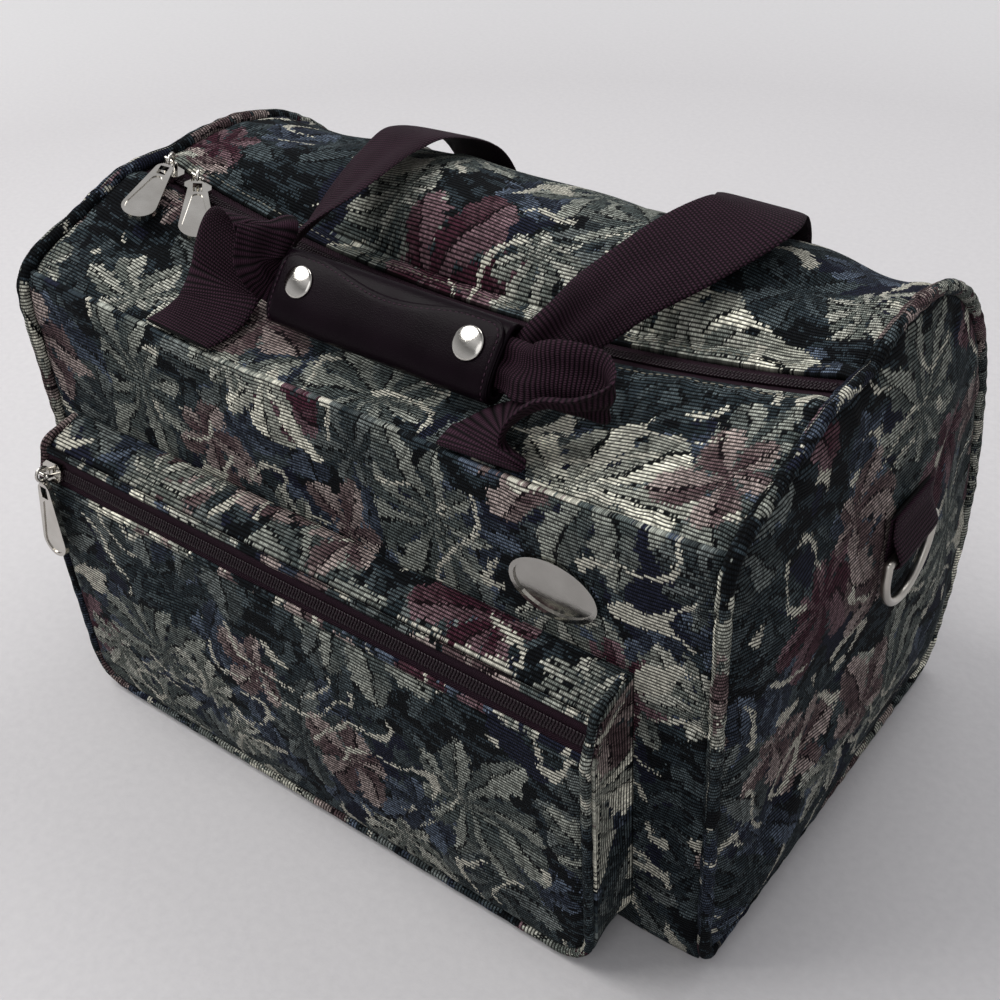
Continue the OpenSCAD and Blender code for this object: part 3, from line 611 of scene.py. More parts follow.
def top_pt(t, v):
    y0 = -HALF_D - LEAN + CLOTH_T + 2 * GAP
    y1 = ZIP_Y - TAPE_SHOW
    y = y0 + (y1 - y0) * v
    z1 = zip_z(t * PANEL_X) + SEAT_H
    share = np.minimum(1, (y - y0) / (y1 - FLANGE - y0))
    dip = SEAM_SAG * (1 - t * t) * np.sin(np.pi * share)
    return y, seam_z(t) + (z1 - seam_z(t)) * share - dip


def rear_pt(t, v):
    """Flat beside the zip, then a curve over the crest and down to the rear seam."""
    y0 = ZIP_Y + TAPE_SHOW
    z0 = zip_z(t * PANEL_X) + SEAT_H
    w = np.clip((v - ZIP_FLAT) / (1 - ZIP_FLAT), 0, 1)
    b0, b1, b2, b3 = (1 - w) ** 3, 3 * (1 - w) ** 2 * w, 3 * (1 - w) * w ** 2, w ** 3
    y = (y0 + FLANGE) * b0 + (y0 + 2.2 * FLANGE) * b1 + (HALF_D - HUMP_BACK) * b2 + HALF_D * b3
    crest = crest_z(t)
    z = (z0 * b0 + (crest + 0.4 * (crest - z0)) * b1 + (crest + HUMP_TOP) * b2
         + (REAR_SEAM_H + GAP) * b3)
    early = v < ZIP_FLAT
    return np.where(early, y0 + FLANGE * v / ZIP_FLAT, y), np.where(early, z0, z)


def back_pt(t, v):
    return HALF_D + BELLY * np.sin(np.pi * v) + 0 * t, (REAR_SEAM_H - GAP) * (1 - v) + 0 * t


SECTIONS = {"front": front_pt, "top": top_pt, "rear": rear_pt, "back": back_pt}


def on_panel(kind, x, v, lift, step=0.02):
    """Point on a panel, lifted off its outer face."""
    a, p, b = (np.array(SECTIONS[kind](x / PANEL_X, np.array(at)))
               for at in (max(0.0, v - step), v, min(1.0, v + step)))
    d = unit(b - a)
    y, z = p + lift * np.array([-d[1], d[0]])
    return np.array([x, y, z])


# ---- cloth of the body ----

# How far a seam holds the cloth still, its tuck and the puckers beside it
SEAM_HOLD, TUCK_W, PUCKER_AT, PUCKER_W, PUCKER_PITCH = 14, 2.2, 7, 6, 15
SEAM_PUCKER, END_PUCKER, END_TUCK = 0.45, 0.8, 1.0
# Reach of a rolled seam, and how far it pulls the cloth along
ROLL_W, SLIDE_W, SLIDE = 9, 6, 0.9
# Height that folds keep to under the handles' legs, and more away from them
LEG_CAP, FREE_CAP, LEG_HOLD = 0.4, 9, 30

# Solid, points along and across, seed, height and length of the folds, then tuck and roll at the
# first and the last seam
PANELS = {
    "front": ("front_panel", (150, 110), 1, 1.0, 80, (1.4, 1.4), (0, 2.4)),
    "top": ("front_top_panel", (170, 70), 2, 1.5, 60, (1.4, 0.9), (2.4, 0)),
    "rear": ("rear_top_panel", (170, 110), 3, 2.6, 90, (0.9, 1.4), (0, 0)),
    "back": ("back_panel", (130, 80), 4, 1.2, 90, (1.4, 1.4), (0, 0)),
}
# Creases, from end to end: along the bag and from the panel's first seam, then depth and width
CREASES = {
    "front": ((60, 205, 178, 168, 1.3, 6), (110, 222, 180, 192, 1.1, 5),
              (-180, 214, -60, 188, 1.2, 6), (150, 20, 180, 130, 1.4, 7)),
    "top": ((105, 72, 178, 18, 1.8, 7), (-60, 62, 62, 46, 1.5, 8),
            (-178, 18, -118, 62, 1.6, 6), (0, 10, 60, 34, 1.2, 6)),
    "rear": ((-172, 28, -95, 92, 2.2, 9), (95, 20, 176, 72, 2.4, 9), (-30, 58, 55, 112, 1.7, 10),
             (-150, 110, -20, 150, 1.8, 10), (40, 150, 165, 104, 1.8, 9)),
    "back": ((-150, 40, 60, 96, 2.0, 13), (160, 30, 20, 140, 1.8, 12),
             (-120, 150, 40, 120, 1.6, 11)),
}


def loft(kind, nx, nv):
    """Grid of points on a panel's outer face."""
    x, v = field((-PANEL_X, PANEL_X, nx), (0, 1, nv))
    return np.stack([x, *SECTIONS[kind](x / PANEL_X, v)], axis=2)


def edge_runs(grid):
    """Distances of a grid's points from its first and last seams, along the section."""
    step = np.linalg.norm(np.diff(grid, axis=1), axis=2)
    run = np.concatenate([np.zeros((grid.shape[0], 1)), np.cumsum(step, axis=1)], axis=1)
    return run, run[:, -1:] - run


def sag(kind, x, first, edge, seed, rise, size):
    """Folds and creases, pressed flat under the handles' legs and the badge."""
    soft = rise * folds(x, first, seed, size) + creases(x, first, CREASES[kind])
    free = FREE_CAP * (1 - bell(np.abs(x), LEG_HOLD, LEG_X, 4))
    lift = np.minimum(ease(edge, SEAM_HOLD) * soft, LEG_CAP + free)
    if kind == "front":
        lift = lift * (1 - bell(np.hypot(x - BADGE_X, first - BADGE_Z), BADGE_L, power=4))
    return lift


def seam_relief(along, run, tuck, pucker, seed):
    """Cloth drawn in at a seam and puckered beside it."""
    waves = folds(along, 0 * along, seed, PUCKER_PITCH)
    return pucker * bell(run, PUCKER_W, PUCKER_AT) * waves - tuck * bell(run, TUCK_W)


def cloth_panel(kind, node, counts, seed, rise, size, tuck, roll):
    """A panel that sags in soft folds, rolls in at its seams and puckers along them."""
    grid = loft(kind, *counts)
    normal = surface_normals(grid)
    first, last = edge_runs(grid)
    x = grid[:, :, 0]
    ends = PANEL_X - np.abs(x)
    lift = sag(kind, x, first, np.minimum(np.minimum(first, last), ends), seed, rise, size)
    lift += seam_relief(x, first, tuck[0], SEAM_PUCKER, seed + 3)
    lift += seam_relief(x, last, tuck[1], SEAM_PUCKER, seed + 3)
    lift += seam_relief(first, ends, END_TUCK, END_PUCKER, seed + 3)
    lift -= roll[0] * bell(first, ROLL_W) + roll[1] * bell(last, ROLL_W)
    slide = SLIDE * (roll[0] * bell(first, SLIDE_W) - roll[1] * bell(last, SLIDE_W))
    grid = grid + slide[:, :, None] * unit(np.gradient(grid, axis=1))
    outer = grid + lift[:, :, None] * normal
    inner = grid + (np.minimum(lift, 0.5 * rise) - CLOTH_T)[:, :, None] * normal
    flat = first.mean(axis=0)
    piece = cloth_piece(f"{kind}_cloth", outer, inner, grid[:, :, 0], flat, node)
    return outer, surface_normals(outer)


# ---- ends and base ----

END_LOW_R, END_TOP_R = 9, 18
END_N, END_RINGS, CORD_N, CORD_SIDES = 200, 44, 420, 14
END_CREASES = ((-95, 214, -5, 150, 2.0, 9), (84, 222, 24, 120, 1.8, 9),
               (-104, 44, -22, 112, 2.0, 10), (96, 30, 30, 104, 2.0, 10))
# Side and seed of the folds
ENDS = {"left": (-1, 31), "right": (1, 21)}
# Distance from an end's seam to its middle, and between the points along the seam, about
END_SPAN, RIM_STEP = 110, 4.2
# How far the piping under the bag is pressed in, and how flat
PRESS, SQUASH = 1.9, 0.12


def corner(a, b, c, r):
    """Corner of an outline, rounded by a short curve."""
    p, q = b + r * unit(a - b), b + r * unit(c - b)
    turn = []
    for v in (0, 1 / 3, 2 / 3, 1):
        before, after = p + (b - p) * v, b + (q - b) * v
        turn.append(before + (after - before) * v)
    return turn


def end_outline(side, count):
    """Closed outline of the end seam on the side -1 or 1, as [y, z]."""

    def at(kind, *marks):
        return [np.array(SECTIONS[kind](np.array(float(side)), np.array(v)), dtype=float)
                for v in marks]

    low_front, low_back = np.array([-HALF_D, PIPE_R]), np.array([HALF_D, PIPE_R])
    front_low, front_top = at("front", 0.8, 1.0)
    points = corner(low_back, low_front, front_top, END_LOW_R)
    points += at("front", 0.2, 0.4, 0.6, 0.8)
    points += corner(front_low, front_top, *at("top", 0.5), END_TOP_R)
    points += at("top", 0.4, 0.55, 0.7, 0.85, 1.0)
    points += at("rear", *np.arange(0, 0.97, 0.08))
    points += at("back", *np.arange(0.02, 0.9, 0.12))
    points += corner(*at("back", 0.9), low_back, low_front, END_LOW_R)
    shares = (0.08, 0.16, 0.3, 0.5, 0.7, 0.84, 0.92)
    points += [low_back + (low_front - low_back) * v for v in shares]
    return smooth_path(points, count, closed=True)


def outline_normals(outline):
    d = unit(np.roll(outline, -1, axis=0) - np.roll(outline, 1, axis=0))
    return np.stack([-d[:, 1], d[:, 0]], axis=1)


def end_cloth(name, side, seed):
    """Bulging end panel, as rings from the seam to a small disc in the middle."""
    outline = end_outline(side, END_N)
    rim = outline - (PIPE_R + GAP) * outline_normals(outline)
    middle = np.array([0, 0.52 * SEAM_H])
    f = np.linspace(1, 0.02, END_RINGS)[:, None]
    yz = middle + (rim[None] - middle) * f[:, :, None]
    y, z = yz[:, :, 0], yz[:, :, 1]
    edge = (1 - f) * END_SPAN
    slump = creases(y, z, END_CREASES) + 2.2 * folds(y, z, seed, size=90)
    slump += 1.5 * bell(z, 60, at=40) - 1.2
    lift = END_BULGE * (1 - f ** 4) + ease(edge, 12) * slump - 1.1 * bell(edge, 2.5)
    along = np.arange(END_N)[None, :] * RIM_STEP
    lift += 0.8 * bell(edge, 6, at=7) * folds(along, 0, seed=9, size=18)

    n = END_RINGS * END_N
    skins = [np.dstack([side * (HALF_L + lift + dx), yz]) for dx in (CLOTH_T / 2, -CLOTH_T / 2)]
    faces = strip_faces(END_RINGS, END_N, wrap_v=True)
    faces += [face[::-1] for face in strip_faces(END_RINGS, END_N, n, wrap_v=True)]
    faces += [tuple(range(n - END_N, n)), tuple(range(2 * n - 1, 2 * n - END_N - 1, -1))]
    faces += [(i, (i + 1) % END_N, n + (i + 1) % END_N, n + i) for i in range(END_N)]
    points = np.concatenate([skin.reshape(-1, 3) for skin in skins])
    uv = np.concatenate([yz.reshape(-1, 2)] * 2)
    piece = add_piece(f"{name}_end_cloth", points, faces, TAPESTRY, uv, [f"{name}_end_panel"])
    y, z = rim.T


def end_cord(name, side):
    """The piping of an end seam, pressed in where the bag stands on it."""
    outline = end_outline(side, CORD_N)
    normal = outline_normals(outline)
    stood = bell(outline[:, 1], 15)
    outline = outline - PRESS * stood[:, None] * normal
    angle = np.arange(CORD_SIDES) * 2 * math.pi / CORD_SIDES
    run = lengths(outline)
    uneven = 1.04 + 0.08 * folds(run, 0 * run, seed=41, size=14)
    radius = PIPE_R * (1 - SQUASH * stood) * uneven
    off = (radius[:, None] * np.cos(angle))[:, :, None] * normal[:, None, :]
    x = side * (HALF_L + radius[:, None] * np.sin(angle))
    rings = np.dstack([x, outline[:, None, :] + off])
    tube_piece(f"{name}_piping_cord", rings, angle * PIPE_R, run[:, None], f"{name}_end_piping",
               closed=True)


def base_cloth():
    """The underside, turned up a little along its edges."""
    y0 = HALF_D - CLOTH_T - 2 * GAP
    x, y = field((-PANEL_X, PANEL_X, 90), (-y0, y0, 60))
    edge = np.minimum(y0 - np.abs(y), PANEL_X - np.abs(x))
    uneven = 0.12 * (1 + folds(x, y, seed=51, size=60))
    low = 0.5 * bell(edge, 3) + uneven * ease(edge, 10)
    outer = np.stack([x, -y, np.maximum(low, 0)], axis=2)
    inner = np.stack([x, -y, np.full_like(x, CLOTH_T)], axis=2)
    piece = cloth_piece("base_cloth", outer, inner, x, y, "base_panel")


skins = {kind: cloth_panel(kind, *values) for kind, values in PANELS.items()}
for name, (side, seed) in ENDS.items():
    end_cloth(name, side, seed)
    end_cord(name, side)
base_cloth()


# ---- zips ----

TAPE_W = TAPE_SHOW + FLANGE - 2
POCKET_TAPE_W = POCKET_BAND / 2 - GAP
# Spacing of the coil's turns, and how far it stops short of the tape
COIL_PITCH, COIL_END = 1.5, 2


def at_zip(x, y, z):
    """Point beside the main zip: x along it, y across and z off the tape."""
    a = np.arcsin(x / ZIP_R)
    r = ZIP_R - z
    spot = (r * np.sin(a), ZIP_Y + y, ZIP_AXIS_Z - r * np.cos(a))
    return np.stack(np.broadcast_arrays(*spot), axis=-1)


def on_front(x, out, up):
    """Point in the frame of the leaning front."""
    c, s = math.cos(LEAN_A), math.sin(LEAN_A)
    spot = (x, -HALF_D - out * c - up * s, -out * s + up * c)
    return np.stack(np.broadcast_arrays(*spot), axis=-1)


def at_pocket_zip(x, y, z):
    """Point beside the pocket's zip: x along it, y up and z off the tape."""
    c, s = math.cos(BAND_A), math.sin(BAND_A)
    out = POCKET_D - STRIP_IN / 2 + z * c - y * s
    return on_front(x, out, BAND_TOP - POCKET_BAND * c / 2 + y * c + z * s)


def tape_piece(name, place, along, across, node):
    """Woven tape with a thick edge cord beside the coil."""
    x, y = field((*along, 180), (*across, 12))
    top = -0.12 + 0.1 * bell(np.abs(y), 0.8, at=4.2)
    cloth_piece(name, place(x, y, top), place(x, y, -TAPE_T), x, y, node, TAPE, "zip_tape")


def coil_piece(name, place, x0, x1, node):
    """Two rows of coil turns that mesh along the middle, over a flat core."""
    marks = np.arange(x0 + COIL_PITCH, x1 - COIL_PITCH, COIL_PITCH)
    turns = []
    for x, way in ((marks, -1), (marks + COIL_PITCH / 2, 1)):
        here = place(x, way * COIL_W * 0.22, COIL_H * 0.56)
        there = place(x + 0.28 * way, way * COIL_W * 0.5, COIL_H * 0.5)
        over = place(x, way * COIL_W * 0.22, COIL_H * 2)
        turns.append((here, there - here, over - here))
    sites, runs, ups = (np.concatenate(part) for part in zip(*turns))
    beads = bead_mesh(sites, runs, ups, (COIL_W * 0.27, 0.62, 0.85))
    x, y = field((x0, x1, 120), (-COIL_W * 0.4, COIL_W * 0.4, 5))
    core = sheet_mesh(place(x, y, 0.55 * COIL_H), place(x, y, 0.1))
    points, faces = joined([beads, core])
    add_piece(name, points, faces, COIL, nodes=[node], slot="zip_coil")


long = (-PANEL_X + GAP, PANEL_X - GAP)
tape_piece("front_tape", at_zip, long, (-TAPE_W, -TAPE_EDGE), "front_zip_tape")
tape_piece("rear_tape", at_zip, long, (TAPE_EDGE, TAPE_W), "rear_zip_tape")
coil_piece("main_coil", at_zip, -PANEL_X + COIL_END, PANEL_X - COIL_END, "main_zip_coil")
long, edge = (POCKET_X0, POCKET_X1), TAPE_EDGE / 2
tape_piece("pocket_high_tape", at_pocket_zip, long, (edge, POCKET_TAPE_W), "pocket_upper_tape")
tape_piece("pocket_low_tape", at_pocket_zip, long, (-POCKET_TAPE_W, -edge), "pocket_lower_tape")
coil_piece("pocket_coil", at_pocket_zip, POCKET_X0 + COIL_END, POCKET_X1 - COIL_END,
           "pocket_zip_coil")


# ---- front pocket ----

POCKET_CREASES = ((-150, 128, -30, 92, 1.3, 7), (50, 58, 142, 26, 1.3, 6),
                  (-120, 24, -20, 60, 1.2, 7))
# Steps of the piping back along the strip
PIPE_STEPS = (4, 9, 15, 20)
# Distance of the lips from the middle of the zip, their thickness, and the upper one's place in
# the pattern from the lower one's
LIP_IN, LIP_T, LIP_CUT = 6.2, 1.1, (700, 300)


def pocket_edge(inset, count, top=BAND_LOW):
    """Path round the pocket's sides and bottom as [x, up], from the top left."""
    r = POCKET_CORNER - inset
    x0, x1, z0 = POCKET_X0 + inset, POCKET_X1 - inset, POCKET_LOW + inset
    arc = [(x0 + r - r * math.cos(a), z0 + r - r * math.sin(a))
           for a in np.linspace(0, math.pi / 2, 12)]
    path = [(x0, z) for z in np.linspace(top, z0 + r + 2, 10)] + arc
    path += [(x, z0) for x in np.linspace(x0 + r + 4, x1 - r - 4, 24)]
    path += [(x1 + x0 - x, z) for x, z in arc[::-1]]
    path += [(x1, z) for z in np.linspace(z0 + r + 2, top, 10)]
    return smooth_path(path, count)


def pocket_front():
    """The pocket's face: round at its lower corners, puffed out and creased."""
    nu, nv = 190, 90
    inset = 2 * POCKET_PIPE_R + GAP
    x0, x1, z0, z1 = POCKET_X0 + inset, POCKET_X1 - inset, POCKET_LOW + inset, BAND_LOW - GAP
    r = POCKET_CORNER - inset
    share = (1 - np.cos(np.linspace(0, math.pi, nu) * 0.9 + 0.05 * math.pi)) / 2
    u = ((share - share[0]) / (share[-1] - share[0]))[:, None]
    v = np.linspace(0, 1, nv)[None, :]
    x = (x0 + (x1 - x0) * u) * np.ones((1, nv))
    inside = np.maximum(0, r - np.minimum(x - x0, x1 - x))
    foot = z0 + r - np.sqrt(np.maximum(r * r - inside * inside, 0))
    z = foot + (z1 - foot) * v

    edge = np.minimum(np.minimum(x - x0, x1 - x), np.minimum(z - foot, z1 - z))
    fold = bell(z - 74 + 0.05 * x, 7) * np.clip((x - 20) / 60, 0, 1)
    soft = 0.9 * folds(x, z, seed=61, size=75) + creases(x, z, POCKET_CREASES) - 2.2 * fold
    puff = POCKET_BULGE * np.sqrt(np.maximum(np.sin(np.pi * u), 0)) * np.sin(np.pi * v)
    puff = puff + ease(edge, 12) * soft - 0.9 * bell(edge, 2.4)
    puff += 0.3 * bell(edge, 5, at=6) * folds(x, z, seed=62, size=14)
    outer = on_front(x, POCKET_D + CLOTH_T / 2 + puff, z)
    inner = on_front(x, POCKET_D - CLOTH_T / 2 + np.minimum(puff, 0.8 * POCKET_BULGE), z)
    piece = cloth_piece("pocket_cloth", outer, inner, x, z, "pocket_front_panel")


def pocket_wall():
    """The gusset: a strip that dimples between its seams and closes the ends of the zip."""
    high = POCKET_H - CLOTH_T - GAP
    path = pocket_edge(CLOTH_T / 2, 280, high)
    d = unit(np.gradient(path, axis=0))
    inward = np.stack([-d[:, 1], d[:, 0]], axis=1)
    run = lengths(path)
    s = np.linspace(0, 1, 22)[None, :]
    past = np.clip((path[:, 1:] - BAND_LOW) / (high - BAND_LOW), 0, 1)
    front = POCKET_D - POCKET_PIPE_R - GAP
    out = GAP + (front - GAP - past * STRIP_IN * 0.9) * s
    uneven = (1 + 0.5 * folds(run, 0 * run, seed=71, size=60))[:, None]
    dimple = 1.2 * np.sin(np.pi * s) * uneven * (1 - past)

    def skin(off):
        at = path[:, None, :] + (dimple + off)[:, :, None] * inward[:, None, :]
        return on_front(at[:, :, 0], out, at[:, :, 1] - past * STRIP_DROP * s)

    outer, inner = skin(-CLOTH_T / 2), skin(CLOTH_T / 2)
    piece = cloth_piece("pocket_wall", outer, inner, run[:, None], out, "pocket_gusset")


def round_cord(path, radius, sides=14):
    """Rings of points round a path in space, without twist."""
    angle = np.arange(sides)[:, None] * 2 * math.pi / sides
    side = np.array([1.0, 0.2, 0.1])
    rings = []
    for point, run, r in zip(path, unit(np.gradient(path, axis=0)), radius):
        side = unit(side - run * np.dot(side, run))
        rings.append(point + r * (np.cos(angle) * side + np.sin(angle) * np.cross(run, side)))
    return np.array(rings)


def pocket_cord():
    """Piping round the pocket's front, past the ends of the zip and back along the strip."""
    ring = pocket_edge(POCKET_PIPE_R, 260)
    high = [(POCKET_D - STRIP_IN * v, BAND_LOW + (BAND_TOP - BAND_LOW) * v)
            for v in np.linspace(0.15, 1, 6)]
    high += [(POCKET_D - STRIP_IN - back, BAND_TOP + 2 + 0.12 * back) for back in PIPE_STEPS]
    left, right = ([(x, out, up) for out, up in high] for x in (ring[0, 0], ring[-1, 0]))
    round_front = [(x, POCKET_D, up) for x, up in [*ring[::4], ring[-1]]]
    path = on_front(*smooth_path(left[::-1] + round_front + right, 340).T)
    run = lengths(path)
    radius = POCKET_PIPE_R * (1 + 0.05 * folds(run, 0 * run, seed=81, size=12))
    rings = round_cord(path, radius)
    across = np.linspace(0, 2 * math.pi * POCKET_PIPE_R, rings.shape[1])
    tube_piece("pocket_piping_cord", rings, across, run[:, None], "pocket_piping")


def pocket_strip():
    """Strip from the body to the pocket's zip, with a soft roll at each edge."""
    y1 = POCKET_D - STRIP_IN - TAPE_T - GAP
    x, s = field((POCKET_X0, POCKET_X1, 170), (0, 1, 18))
    out = GAP + (y1 - GAP) * s
    up = POCKET_H + (BAND_TOP + GAP - POCKET_H) * s
    edge = np.minimum(s, 1 - s) * y1
    crown = 1.3 * np.sin(np.pi * s) + 0.5 * ease(edge, 5) * folds(x, out, seed=91, size=40)
    outer = on_front(x, out, up + crown - 0.8 * bell(edge, 1.8))
    inner = on_front(x, out, up - CLOTH_T)
    piece = cloth_piece("pocket_strip", outer, inner, x, out, "pocket_top_strip")


def pocket_lips():
    """The folded edges of the cloth along the pocket's tapes."""
    x, s = field((POCKET_X0 + 1, POCKET_X1 - 1, 200), (0, 1, 10))
    rounded = np.sqrt(np.maximum(1 - (1.7 * s - 0.75) ** 2, 0))
    thick = LIP_T * rounded * (1 + 0.12 * folds(x, 0 * x, seed=95, size=11))
    stray = 0.25 * folds(x, 0 * x, seed=96, size=45) * (1 - s)
    edge = LIP_IN + (POCKET_BAND / 2 - LIP_IN) * s + stray
    points, faces = joined(
        sheet_mesh(at_pocket_zip(x, way * edge, thick), at_pocket_zip(x, way * edge, 0))
        for way in (-1, 1)
    )
    uv = flat_uv(x, edge)
    uv = np.concatenate([uv, uv, uv + LIP_CUT, uv + LIP_CUT])
    add_piece("pocket_lips", points, faces, TAPESTRY, uv)


pocket_front()
pocket_wall()
pocket_cord()
pocket_strip()
pocket_lips()


# ---- handles ----

C_WRAP, S_WRAP = math.cos(math.radians(WRAP_DEG)), math.sin(math.radians(WRAP_DEG))
WRAP_SPOT = np.array([WRAP_X, WRAP_Y, WRAP_Z])
WRAP_DIR = np.array([0, C_WRAP, S_WRAP])
WRAP_OUT = np.array([0, -S_WRAP, C_WRAP])
WRAP_IN_W, WRAP_IN_D = WRAP_W - 2 * LEATHER_T, WRAP_D - 2 * LEATHER_T
STRAND_T = WRAP_IN_D / 2 - GAP - STRAND_GAP / 2
STRAND_W = WRAP_IN_W - 7
STRAND_OFF = (WRAP_IN_D - STRAND_T) / 2 - GAP
WRAP_END = WRAP_L / 2
STRAND_END = WRAP_END + 0.08 * WEB_W
WEB_LIFT = GAP + WEB_T / 2


# A route is a list of stations: a point, the direction of the width, the width and the thickness

def in_wrap(x, off):
    return np.array([WRAP_X + x, WRAP_Y, WRAP_Z]) + off * WRAP_OUT


def beside(end, *share):
    """Point near an end, in widths of the webbing."""
    return end + WEB_W * np.array(share)


def strap(point, wide):
    return point, np.array(wide, dtype=float), WEB_W, WEB_T


def gather(point, wide, share):
    """Station where the webbing is drawn together to a share of its width."""
    return point, np.array(wide, dtype=float), share * WEB_W, (WEB_T + STRAND_T) / 2


def leg(kind, x, v, lift, flip=1):
    """Station on a panel, lifted by some thicknesses of webbing."""
    wide = on_panel(kind, x + WEB_W / 2, v, 0) - on_panel(kind, x - WEB_W / 2, v, 0)
    return strap(on_panel(kind, x, v, WEB_LIFT + lift * WEB_T), flip * unit(wide))


def strands(off):
    """The straight run through the wrap."""
    return [(in_wrap(x, off), WRAP_DIR, STRAND_W, STRAND_T)
            for x in (-STRAND_END, -0.75 * WRAP_END, 0, 0.75 * WRAP_END, STRAND_END)]


def front_route():
    left, right = in_wrap(-WRAP_END, STRAND_OFF), in_wrap(WRAP_END, STRAND_OFF)
    foot = on_panel("top", LEG_X + 0.08 * WEB_W, 0.2, WEB_LIFT + 5 * WEB_T)
    return [
        leg("top", -LEG_X - LEG_LEFT, 0.02, 0.3),
        leg("top", -LEG_X - LEG_LEFT, 0.2, 0.6),
        leg("top", -LEG_X - 1.4 * LEG_LEFT, 0.37, 1.4),
        strap(beside(left, -0.97, 0.05, -0.29), (0.95, 0.12, -0.2)),
        strap(beside(left, -0.78, 0.07, 0.12), (0.87, 0.1, -0.42)),
        gather(beside(left, -0.48, 0.1, 0.48), (0.75, 0.5, -0.35), 0.85),
        gather(beside(left, -0.2, 0.08, 0.58), (0.3, 0.9, 0), 0.72),
        gather(beside(left, -0.17, -0.11, 0.25), (0.2, 0.75, 0.6), 0.58),
        *strands(STRAND_OFF),
        gather(beside(right, 0.34, -0.08, 0.03), WRAP_DIR, 0.6),
        gather(beside(right, 0.7, 0.02, 0.08), (0, 0.35, 1), 0.68),
        gather(beside(right, 1.08, 0.1, 0.06), (0, 0.2, 1), 0.66),
        gather(beside(right, 1.29, -0.06, 0.02), (0.25, -0.2, 0.95), 0.62),
        gather(beside(right, 1.09, -0.27, 0), (0.3, -0.65, 0.7), 0.62),
        gather(beside(right, 0.74, -0.38, -0.05), (0.4, -0.7, 0.6), 0.68),
        strap(foot, (0.8, -0.45, 0.45)),
        leg("top", LEG_X, 0.1, 1.3),
        leg("top", LEG_X, 0.02, 0.3),
    ]


def rear_route():
    left, right = in_wrap(-WRAP_END, -STRAND_OFF), in_wrap(WRAP_END, -STRAND_OFF)
    over_left, over_right = np.array([-LEG_X, 0, CREST_H]), np.array([LEG_X, 0, CREST_H])
    return [
        leg("rear", -LEG_X, 0.99, 0.3),
        leg("rear", -LEG_X, 0.86, 1.4),
        leg("rear", -LEG_X + 0.13 * WEB_W, 0.7, 4),
        leg("rear", -LEG_X + 0.24 * WEB_W, 0.5, 6),
        gather(beside(over_left, 0.26, 0.05, 0.28), (0.95, 0.1, 0.2), 0.87),
        gather(beside(over_left, 0.36, -0.87, 0.1), (0.85, 0.05, 0.4), 0.79),
        gather(beside(left, -0.34, 0.37, 0.18), (0.45, 0.3, 0.8), 0.68),
        *strands(-STRAND_OFF),
        gather(beside(right, 0.37, 0.4, 0.29), (-0.4, 0.2, 0.85), 0.66),
        gather(beside(over_right, 0.16, -0.98, 0.05), (-0.82, 0.12, 0.45), 0.82),
        strap(beside(over_right, 0.55, -0.2, 0.34), (-0.93, 0.1, 0.3)),
        strap(beside(over_right, 0.8, 0.55, 0.46), (-0.97, 0.05, 0.2)),
        leg("rear", LEG_X + 0.6 * WEB_W, 0.58, 6.5, -1),
        leg("rear", LEG_X + 0.32 * WEB_W, 0.74, 3.8, -1),
        leg("rear", LEG_X + 0.1 * WEB_W, 0.87, 1.4, -1),
        leg("rear", LEG_X, 0.99, 0.3, -1),
    ]


def webbing_piece(name, route, node, count):
    """Flat webbing along a route, rounded at its edges and pleated where it is gathered."""
    stations = np.array([np.concatenate([p, w, [wide, thick]]) for p, w, wide, thick in route])
    path = smooth_path(stations, count)
    mid, wide, width, thick = path[:, :3], path[:, 3:6], path[:, 6:7], path[:, 7:]
    run = unit(np.gradient(mid, axis=0))
    wide = unit(wide - (wide * run).sum(axis=1, keepdims=True) * run)
    up = np.cross(wide, run)[:, None, :]
    s = np.linspace(-1, 1, 21)
    slack = np.clip(1 - width / WEB_W, 0, 0.5)
    pleat = 2.0 * slack * np.sin(2 * np.pi * s + 0.6)
    half = np.minimum(thick, WEB_T + 0.4) / 2 * np.sqrt(np.maximum(1 - s ** 6, 0.02))
    base = mid[:, None, :] + (width / 2 * s)[:, :, None] * wide[:, None, :]
    top, low = (base + (pleat + off)[:, :, None] * up for off in (half, -half))
    rings = np.concatenate([top, low[:, ::-1]], axis=1)
    across = np.concatenate([s, s[::-1]]) * WEB_W / 2
    tube_piece(name, rings, across, lengths(mid)[:, None], node, WEBBING, "webbing")


# ---- leather wrap ----

WRAP_POWER = 2 / 2.8
FLAP_TOP, FLAP_DIP, FLAP_DIP_X, FLAP_FOOT = 13.2, 5.0, 40, math.radians(235)
WRAP_N, WRAP_SIDES = 70, 64
# Radius and height of the snap caps' profile
CAP = ((7, 0), (7, 0.5), (6.7, 0.85), (6, 1.12), (4.5, 1.51), (3, 1.78), (1.5, 1.95), (0.05, 2))
CAP_SIDES, CAP_UP = 48, 2
STITCH_IN, STITCH_FOOT = 2.2, math.radians(170)


def wrap_point(x, y, z):
    """Point in the frame of the wrap: y across its width and z out of its face."""
    x, y, z = (part[..., None] for part in np.broadcast_arrays(x, y, z))
    return WRAP_SPOT + x * np.array([1.0, 0, 0]) + y * WRAP_DIR + z * WRAP_OUT


def wrap_section(angle, lift=0.0):
    """Soft oval section, [y, z] at an angle from its upper edge round by its face."""
    c, s = np.cos(angle), np.sin(angle)
    y = np.sign(c) * np.abs(c) ** WRAP_POWER * (WRAP_W / 2 + lift)
    return y, np.sign(s) * np.abs(s) ** WRAP_POWER * (WRAP_D / 2 + lift)


